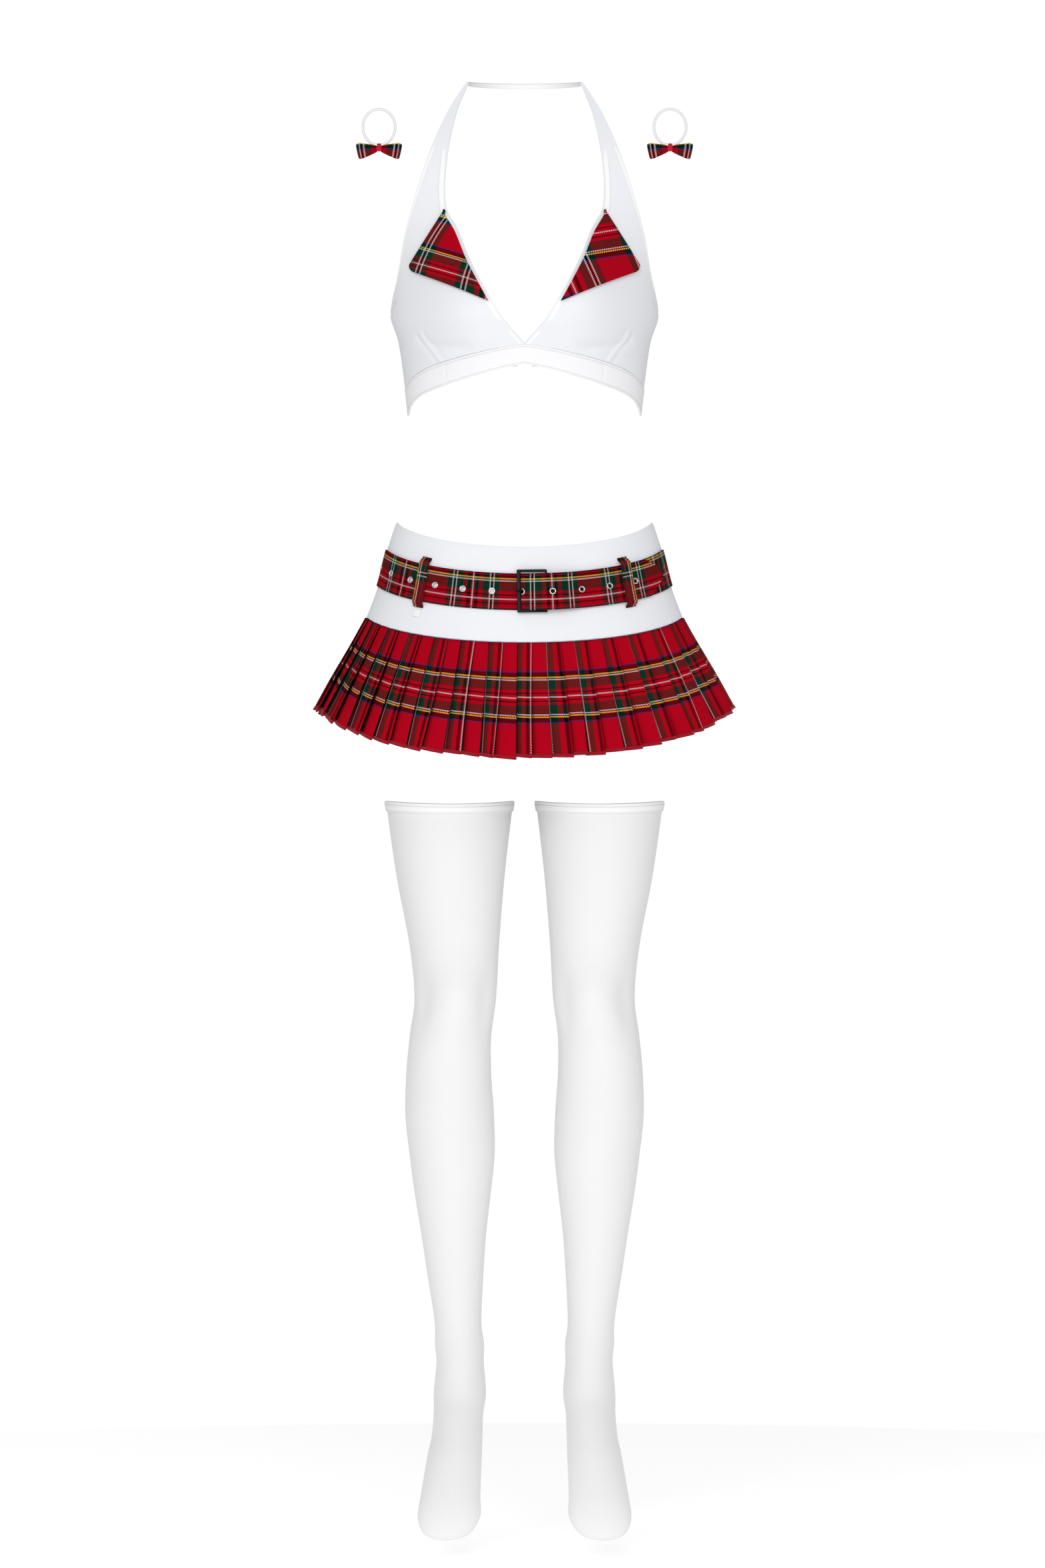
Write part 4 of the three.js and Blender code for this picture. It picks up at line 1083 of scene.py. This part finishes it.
def ringMesh(name, transform):  # a rolled eyelet, lip out, with its barrel through the cloth
    bm = bmesh.new()
    lip, hole, outer = eyelet["lip"], eyelet["hole"], eyelet["outer"]
    base = belt["wall"] / 2
    middle, half = (outer + hole) / 2, (outer - hole) / 2
    outline = [(hole, 0.9), (hole, -base)]
    outline += [
        (middle - half * math.cos(a), -base - lip * math.sin(a))
        for a in (math.radians(d) for d in range(20, 181, 32))]
    verts = [bm.verts.new((r, y, 0)) for r, y in outline]
    edges = [bm.edges.new(pair) for pair in zip(verts, verts[1:])]
    bmesh.ops.spin(
        bm, geom=verts + edges, cent=(0, 0, 0), axis=(0, 1, 0), angle=fullTurn, steps=24, use_merge=True)
    bmesh.ops.remove_doubles(bm, verts=bm.verts, dist=1e-4)
    bmesh.ops.recalc_face_normals(bm, faces=bm.faces)
    bmesh.ops.transform(bm, matrix=Matrix.Scale(mm, 4) @ transform, verts=bm.verts)
    bmesh.ops.solidify(bm, geom=bm.faces, thickness=0.25 * mm)
    return finishMesh(name, bm)


def makeBelt():
    stations = strapStations()
    last = len(stations) - 1

    def pointed(angle):  # 1 along the strap, falling to 0 at its narrow tip
        toTip = max(0, belt["tip"] - beltHalfWidth * math.sin(angle)) / belt["taper"]
        return min(1, toTip) ** 0.85 if angle > fullTurn + 0.5 else 1

    def strapPoint(u, v, out):
        i = round(u * last)
        angle, height = stations[i]
        near, far = stations[max(i - 1, 0)], stations[min(i + 1, last)]
        p = hipRound(near[0], belt["level"], near[1])
        q = hipRound(far[0], belt["level"], far[1])
        side = Vector((q.y - p.y, p.x - q.x, 0)).normalized()
        half = between(belt["tipHeight"], belt["height"], pointed(angle)) / 2
        return hipRound(angle, belt["level"] + between(half, -half, v), height) + side * out

    def strapCloth(u, v, p):
        i = round(u * last)
        angle = stations[i][0]
        share = between(belt["tipHeight"] / belt["height"], 1, pointed(angle))
        fromTop = (0.5 + (v - 0.5) * share) * 37.5
        behind = clamp(1 - angle / fullTurn)  # cut a little off the grain, so the layers don't line up
        return (arcAt(angle) - beltRound - firstLine + 24 * behind, fromTop - 27 + 5 * behind)

    strap = sheetMesh("belt_webbing", strapPoint, last, 10, strapCloth)
    thicken(strap, belt["wall"], 0.0, 0.3, 2)
    cutters = bmesh.new()
    for place in eyeletPlaces + backPlaces:
        angle = angleAt(place)
        bmesh.ops.create_cone(
            cutters, cap_ends=True, segments=16, radius1=eyelet["hole"] * mm, radius2=eyelet["hole"] * mm,
            depth=2.4 * mm,
            matrix=Matrix.Translation(beltFrame(angle, strapOut).translation * mm)
            @ beltFrame(angle, strapOut).to_3x3().to_4x4() @ Matrix.Rotation(math.pi / 2, 4, "X"))
    cutter = finishMesh("hole_cutter", cutters)
    punched = strap.modifiers.new("holes", "BOOLEAN")
    punched.object = cutter
    punched.solver = "EXACT"
    settle(strap)
    bpy.data.objects.remove(cutter)
    dress(strap, beltTartan, "skirt", ["belt_strap"])
    for i, place in enumerate(eyeletPlaces):
        ring = ringMesh(f"eyelet_ring_{i + 1:02d}", beltFrame(angleAt(place), strapOut))
        dress(ring, nickelPlate, "skirt", [f"eyelet_{i + 1:02d}"])
    for i, place in enumerate(backPlaces):
        ring = ringMesh(f"back_eyelet_ring_{i + 1:02d}", beltFrame(angleAt(place), strapOut))
        dress(ring, nickelPlate, "skirt")
    for i, place in enumerate(eyeletPlaces[eyelet["left"]:]):  # painted shadow: a black disc behind each hole of the free end makes the hole look dark
        bm = bmesh.new()
        turned = beltFrame(angleAt(place), strapOut) @ Matrix.Translation((0, belt["wall"] / 2 + 0.1, 0))
        bmesh.ops.create_circle(
            bm, cap_ends=True, segments=20, radius=eyelet["hole"] + 0.6,
            matrix=Matrix.Scale(mm, 4) @ turned @ Matrix.Rotation(math.pi / 2, 4, "X"))
        dress(finishMesh(f"eyelet_hole_shadow_{i + 1}", bm), eyeletHoleShadow, "skirt")
    print("belt made:", len(eyeletPlaces) + len(backPlaces), "eyelets")


def settle(piece):  # the modifiers' result becomes the piece's own mesh
    graph = bpy.context.evaluated_depsgraph_get()
    shaped = bpy.data.meshes.new_from_object(piece.evaluated_get(graph))
    piece.modifiers.clear()
    piece.data = shaped


def roundedLoop(bm, left, right, half, corner, steps=5):
    verts = []
    for cx, cz, start in ((right - corner, half - corner, 0), (left + corner, half - corner, 90),
                          (left + corner, corner - half, 180), (right - corner, corner - half, 270)):
        for i in range(steps + 1):
            a = math.radians(start + 90 * i / steps)
            verts.append(bm.verts.new((cx + corner * math.cos(a), 0, cz + corner * math.sin(a))))
    return [bm.edges.new((verts[i], verts[(i + 1) % len(verts)])) for i in range(len(verts))]


def makeBuckle():
    middle = (buckle["left"] + buckle["right"]) / 2
    half = (buckle["right"] - buckle["left"]) / 2
    place = beltFrame(frontAngle(middle), lambda angle: 0)
    bm = bmesh.new()
    outer = roundedLoop(bm, -half, half, buckle["height"] / 2, 1.3)
    inner = roundedLoop(
        bm, buckle["bar"] - half, half - buckle["hingeBar"], buckle["height"] / 2 - buckle["sideBar"], 0.7)
    flat = bmesh.ops.bridge_loops(bm, edges=outer + inner)["faces"]
    raised = bmesh.ops.extrude_face_region(bm, geom=flat)["geom"]
    bmesh.ops.translate(
        bm, verts=[g for g in raised if isinstance(g, bmesh.types.BMVert)], vec=(0, -buckle["thick"], 0))
    bmesh.ops.recalc_face_normals(bm, faces=bm.faces)
    corners = [e for e in bm.edges if len(e.link_faces) == 2 and e.calc_face_angle() > 1.0]
    bmesh.ops.bevel(
        bm, geom=corners, offset=0.55, segments=3, profile=0.5, affect="EDGES", material=-1)
    raisedPlace = place @ Matrix.Translation((0, -buckle["stand"], 0))
    bmesh.ops.transform(bm, matrix=Matrix.Scale(mm, 4) @ raisedPlace, verts=bm.verts)
    dress(finishMesh("buckle_bars", bm), blackEnamel, "buckle", ["buckle_frame"])

    holeX = eyelet["first"] - middle
    eyeX, eyeOut = half - buckle["hingeBar"] / 2, buckle["stand"] + buckle["thick"] / 2
    eyeHole = math.hypot(buckle["hingeBar"], buckle["thick"]) / 2 + 0.25
    restOut = buckle["stand"] + buckle["thick"] + gap + prong["wire"] / 2
    knots = [
        (eyeX - eyeHole - prong["wall"] / 2, eyeOut - 0.6), (eyeX - 7, underStrap + 0.8),
        (holeX + 7, underStrap),
        (holeX + 3.4, underStrap - 0.4), (holeX + 1.2, underStrap - 0.1), (holeX + 0.1, underStrap + 1.1),
        (holeX - 0.3, restOut - 2), (holeX - 1.3, restOut - 0.2), (buckle["bar"] / 2 - half, restOut + 0.2),
        (-half - prong["reach"], restOut - 0.1)]
    path = smoothPath([Vector(knot) for knot in knots], 4) + [Vector(knots[-1])]
    line = [place @ Vector((p.x, -p.y, 0)) for p in path]
    eyePath = [
        place @ Vector((eyeX + (eyeHole + 0.45) * math.cos(a), -eyeOut - (eyeHole + 0.45) * math.sin(a), 0))
        for a in (fullTurn * i / 24 for i in range(25))]
    up = place.to_3x3() @ Vector((0, 0, 1))
    shank = barMesh(
        "prong_shank", line, lambda u: prong["width"] / 2 * (1 - 0.35 * ease((u - 0.94) * 16)), 14,
        flat=0.62, up=place.to_3x3() @ Vector((0, 1, 0)))
    eye = barMesh("prong_eye", eyePath, 0.45, 10, closed=True, flat=2.5, up=up)
    dress(shank, blackEnamel, "prong", ["buckle_prong"])
    dress(eye, blackEnamel, "prong")
    print("buckle made")


loopCut = {"width": 12.5, "height": 54, "front": 45.3, "back": 140, "level": 31.5, "wall": 1.2}


def makeLoops():
    low = underStrap + belt["wall"] / 2 + 0.4 + 3 * gap
    high = overStrap + belt["wall"] / 2 + 0.4 + 3 * gap
    places = (
        ("front_left", -loopCut["front"], low), ("front_right", loopCut["front"], high),
        ("back_left", -loopCut["back"], low), ("back_right", loopCut["back"], low))
    half = loopCut["height"] / 2
    for name, degrees, clear in places:
        middle = math.radians(degrees)
        radius = math.hypot(beltHalfWidth * math.cos(middle), beltHalfDepth * math.sin(middle))
        rise = smoothRows([
            (0, gap + 0.1), (2.4, gap + 0.2), (5.2, clear + 0.1), (8, clear + 0.35), (half, clear + 0.2),
            (2 * half - 8, clear + 0.35), (2 * half - 5.2, clear + 0.1), (2 * half - 2.4, gap + 0.2),
            (2 * half, gap + 0.1)])

        def loopPoint(u, v, out):
            down = v * 2 * half
            return hipRound(
                middle + (u - 0.5) * loopCut["width"] / radius, loopCut["level"] + half - down,
                rise(down)[0] + out)

        def loopCloth(u, v, p):  # the yellow line runs down the edge away from the middle
            fromEdge = (u if degrees < 0 else 1 - u) * loopCut["width"]
            return (20.1 + v * 2 * half - 18.6, 22.4 - fromEdge)

        piece = sheetMesh(f"belt_loop_{name}", loopPoint, 10, 64, loopCloth)
        thicken(piece, loopCut["wall"], 1.0, 0.45, 3)
        dress(piece, loopTartan, "skirt", [f"{name}_belt_loop"])

    tabAngle = math.radians(-loopCut["front"])
    tabTop = loopCut["level"] - half - 1

    def tabPoint(u, v, out):
        curl = 0.4 * v * v + 0.25 * math.sin(u * math.pi)
        return hipRound(
            tabAngle + (u - 0.5) * 9.6 / (hip["width"] / 2.3), tabTop - 9 * v, out + gap + curl)

    label = sheetMesh("blank_label", tabPoint, 10, 10, flatCloth(9.6, 9))
    thicken(label, 0.7, 1.0, 0.25, 2)
    dress(label, wovenLabel, "skirt", ["label_tab"])
    print("belt loops and label made")


stocking = {"top": -222.5, "toe": -1021.7, "wall": 1.3, "welt": 11, "apart": 163, "dip": 3.3}
leg = {"thigh": 138.4, "knee": 88.6, "calf": 96.4, "ankle": 49.6, "ball": 67}
middleX = stocking["apart"] / 2
legRows = [  # height, sideways middle, half width, front-to-back middle, half depth
    (stocking["top"], middleX, leg["thigh"] / 2, 0, 72),
    (-304, middleX - 1.2, 58.7, -2, 63),
    (-380, middleX - 5.3, 48.5, -4, 53),
    (-437, middleX - 6.3, leg["knee"] / 2, -6, 50),
    (-477, middleX - 1.2, leg["knee"] / 2, -1, 48),
    (-515, middleX + 0.8, 46, 5, 49),
    (-563, middleX - 0.1, leg["calf"] / 2, 10, 50),
    (-606, middleX - 2.7, 46.4, 12, 47),
    (-649, middleX - 3.4, 41.4, 12, 41),
    (-693, middleX - 4.5, 35.3, 11, 35),
    (-736, middleX - 6.3, 30.6, 10, 31),
    (-790, middleX - 9.3, leg["ankle"] / 2 + 0.4, 8, 29),
    (-822, middleX - 11.3, leg["ankle"] / 2, 6, 33),
    (-865, middleX - 11.3, 28.4, 0, 42),
    (-887, middleX - 9.9, 27, -12, 46),
    (-910, middleX - 8.6, 27.4, -32, 43),
    (-930, middleX - 6.3, 29.2, -52, 37),
    (-973, middleX - 2, 32, -88, 25),
    (-995, middleX - 0.5, leg["ball"] / 2, -102, 19.5),
    (-1011, middleX + 1.6, 27, -111, 13),
    (-1018, middleX + 2.5, 18, -114, 8.5),
    (stocking["toe"], middleX + 3, 5, -115, 3),
]
footFrom = -865  # below this the foot is drawn up a little, as it points forward
legRows = [(z if z > footFrom else between(footFrom, z, 0.95), *row) for z, *row in legRows]
legAt = smoothRows(legRows)


def legPoint(side, angle, z, out):
    x, halfWidth, y, halfDepth = legAt(z)
    # kneecap, shin and calf stand out a little from the plain oval
    turn, front = angle, math.cos(angle)
    angle = math.atan2(math.sin(angle), math.cos(angle))
    knee = 4.6 * bell(z + 428, 24) * bell(angle, 0.42) + 3.0 * bell(z + 476, 15) * bell(angle, 0.34)
    knee -= 3.2 * bell(z + 440, 34) * bell(abs(angle) - 0.85, 0.3)
    shin = 1.6 * ease((-500 - z) / 60) * ease((z + 800) / 120) * max(front, 0) ** 6
    ankle = 2.2 * bell(z + 812, 14) * abs(math.sin(angle)) ** 6
    relief = knee + shin + ankle
    return Vector((
        side * x + (halfWidth + out + relief) * math.sin(turn),
        y - (halfDepth + out + relief) * math.cos(turn), z))


def makeStockings():
    for name, side in (("left", -1), ("right", 1)):
        def legSheet(u, v, out):
            z = between(stocking["top"], legRows[-1][0], 1 - (1 - v) ** 1.15)
            angle = u * fullTurn
            if v == 1:
                x, _, y, _ = legAt(legRows[-1][0])
                return Vector((side * x, y, legRows[-1][0] + 0.1 + out))
            dip = stocking["dip"] * math.cos(angle) ** 2 * bell(v, 0.05)
            return legPoint(side, angle, z - dip, out)

        legKnit = sheetMesh(
            f"{name}_stocking_knit", legSheet, 72, 190, lambda u, v, p: (u * 330, p.z), joined=True)
        thicken(legKnit, stocking["wall"], -1.0, 0)
        dress(legKnit, hosiery, f"{name}_leg", [f"{name}_stocking"])

        def weltPoint(u, v, out):
            angle = u * fullTurn
            dip = stocking["dip"] * math.cos(angle) ** 2
            z = stocking["top"] - stocking["welt"] * v - dip * (1 - 0.25 * v)
            swell = 0.55 * math.sin(v * math.pi) ** 0.6
            return legPoint(side, angle, z, out + gap + swell)

        welt = sheetMesh(
            f"{name}_welt_knit", weltPoint, 110, 12, flatCloth(440, 11), joined=True)
        thicken(welt, 0.9, 1.0, 0.3, 3)
        dress(welt, hosieryWelt, f"{name}_leg", [f"{name}_stocking_welt"])
    print("stockings made")


hairTie = {"x": 158, "level": 509, "width": 38, "height": 42, "cord": 3}
bow = {"span": 52, "height": 17, "neck": 6.5, "puff": 7, "knot": 5.4, "knotHeight": 8.6, "knotDepth": 8,
       "cloth": 0.6, "drop": 5.5}


def makeHairTies():
    bowDrop = (hairTie["height"] - hairTie["cord"]) / 2
    wide = (hairTie["width"] - hairTie["cord"]) / 2
    for name, side in (("left", -1), ("right", 1)):
        centre = Vector((side * hairTie["x"], 0, hairTie["level"]))
        ring = [
            centre + Vector((wide * math.sin(a), 0, bowDrop * math.cos(a)))
            for a in (fullTurn * i / 96 for i in range(97))]
        elastic = barMesh(
            f"{name}_elastic_loop", ring, hairTie["cord"] / 2, 14, closed=True, up=Vector((0, 1, 0)))
        dress(elastic, whiteBraid, f"{name}_hair_tie", [f"{name}_hair_elastic"])

        knotAt = centre - Vector((0, 0, bowDrop + 2.5))

        def knotPoint(u, v, out):
            angle, rise = u * fullTurn, between(-math.pi / 2, math.pi / 2, v)
            squash = math.cos(rise) ** 0.32
            rib = 0.25 * math.sin(angle * 7) * squash
            return knotAt + Vector((
                (bow["knot"] / 2 + out + rib) * math.sin(angle) * squash,
                -(bow["knotDepth"] / 2 + out + rib) * math.cos(angle) * squash,
                (bow["knotHeight"] / 2 + out) * math.sin(rise)))

        knot = sheetMesh(
            f"{name}_knot_wrap", knotPoint, 48, 24, flatCloth(22, 11), joined=True)
        dress(knot, redCloth, f"{name}_bow", [f"{name}_bow_knot"])

        for loopName, way in (("outer", side), ("inner", -side)):
            def ribbonPoint(u, v, out):
                angle = u * fullTurn
                outward = (1 - math.cos(angle)) / 2
                reach = (bow["span"] - bow["knot"]) / 2 - gap - 1.5
                along = bow["knot"] / 2 - 0.4 + (reach + 1 - 3.2 * v ** 1.5) * outward
                deep = (bow["puff"] / 2 - 0.6) * math.sin(angle) * between(0.45, 1, outward)
                deep += 0.55 * math.sin(v * 3 * math.pi) * (1 - outward) ** 2 * (1 if u < 0.5 else -1)
                height = between(bow["neck"], bow["height"], outward ** 0.8)
                height *= 1 - 0.16 * ease((outward - 0.8) * 5) ** 2
                up = (0.5 - v) * height + 1.6 * (1 - outward) - outward * (0.5 + 1.6 * v)
                facing = 1 if u < 0.5 else -1
                return centre + Vector((way * along, deep + out * facing, up - bowDrop - bow["drop"]))

            ribbon = sheetMesh(
                f"{name}_bow_{loopName}_ribbon", ribbonPoint, 64, 16,
                lambda u, v, p: (abs(u - 0.5) * 50 + 12, v * bow["height"] + 20.6), joined=True)
            thicken(ribbon, bow["cloth"], 0.0, 0.2, 2)
            dress(ribbon, ribbonTartan, f"{name}_bow", [f"{name}_bow_{loopName}_loop"])
    print("hair ties made")


makeTop()
makeClasp()
makeYoke()
makePleats()
makeBelt()
makeBuckle()
makeLoops()
makeStockings()
makeHairTies()


stage = {"floor": -1.036, "half": 1.6, "glow": 0.42}
light = {"world": 0.54, "key": 88, "keySize": 2.6, "fill": 34}
view = {"away": 8.0, "level": -0.204, "aside": -0.0022, "tall": 1.6934, "sensor": 36, "plane": -0.04}


def makeStage():
    bm = bmesh.new()
    bmesh.ops.create_circle(bm, cap_ends=True, segments=96, radius=stage["half"])
    bmesh.ops.translate(bm, verts=bm.verts, vec=(0, 0, stage["floor"]))
    floor = finishMesh("studio_floor", bm)
    material, tree, shader = newMaterial("paleFloor", 0.9, specular=0.1)
    tone = useGroup(tree, mottleGroup, Slow=0.01, Fine=0.0)["Tone"]
    tree.links.new(scaleColor(tree, (0.9, 0.9, 0.9), tone), shader.inputs["Base Color"])
    shader.inputs["Emission Color"].default_value = (1, 1, 1, 1)
    shader.inputs["Emission Strength"].default_value = stage["glow"]
    floor.data.materials.append(material)

    world = bpy.data.worlds.new("studioWhite")
    world.use_nodes = True
    bpy.context.scene.world = world
    tree = world.node_tree
    seen = tree.nodes.new("ShaderNodeLightPath").outputs["Is Camera Ray"]
    strength = calc(tree, "MULTIPLY_ADD", seen, 1.05 - light["world"], light["world"])
    tree.nodes["Background"].inputs[0].default_value = (1, 1, 1, 1)
    tree.links.new(strength, tree.nodes["Background"].inputs[1])

    for name, place, size, power in (
        ("key", (-0.5, -4.2, 1.5), light["keySize"], light["key"]),
        ("fill", (0.9, -4.0, -0.9), light["keySize"], light["fill"]),
    ):
        lamp = bpy.data.lights.new(name, "AREA")
        lamp.shape = "SQUARE"
        lamp.size = size
        lamp.energy = power
        holder = bpy.data.objects.new(name, lamp)
        holder.location = place
        holder.rotation_euler = (Vector((0, 0, -0.2)) - Vector(place)).to_track_quat("-Z", "Y").to_euler()
        bpy.context.scene.collection.objects.link(holder)

    camera = bpy.data.cameras.new("front")
    camera.sensor_width = view["sensor"]
    camera.lens = view["sensor"] * (view["away"] + view["plane"]) / view["tall"]
    camera.clip_end = 50
    holder = bpy.data.objects.new("front", camera)
    holder.location = (view["aside"], -view["away"], view["level"])
    holder.rotation_euler = (math.pi / 2, 0, 0)
    bpy.context.scene.collection.objects.link(holder)
    bpy.context.scene.camera = holder
    bpy.context.scene.view_settings.view_transform = "Standard"
    print("stage ready")


makeStage()
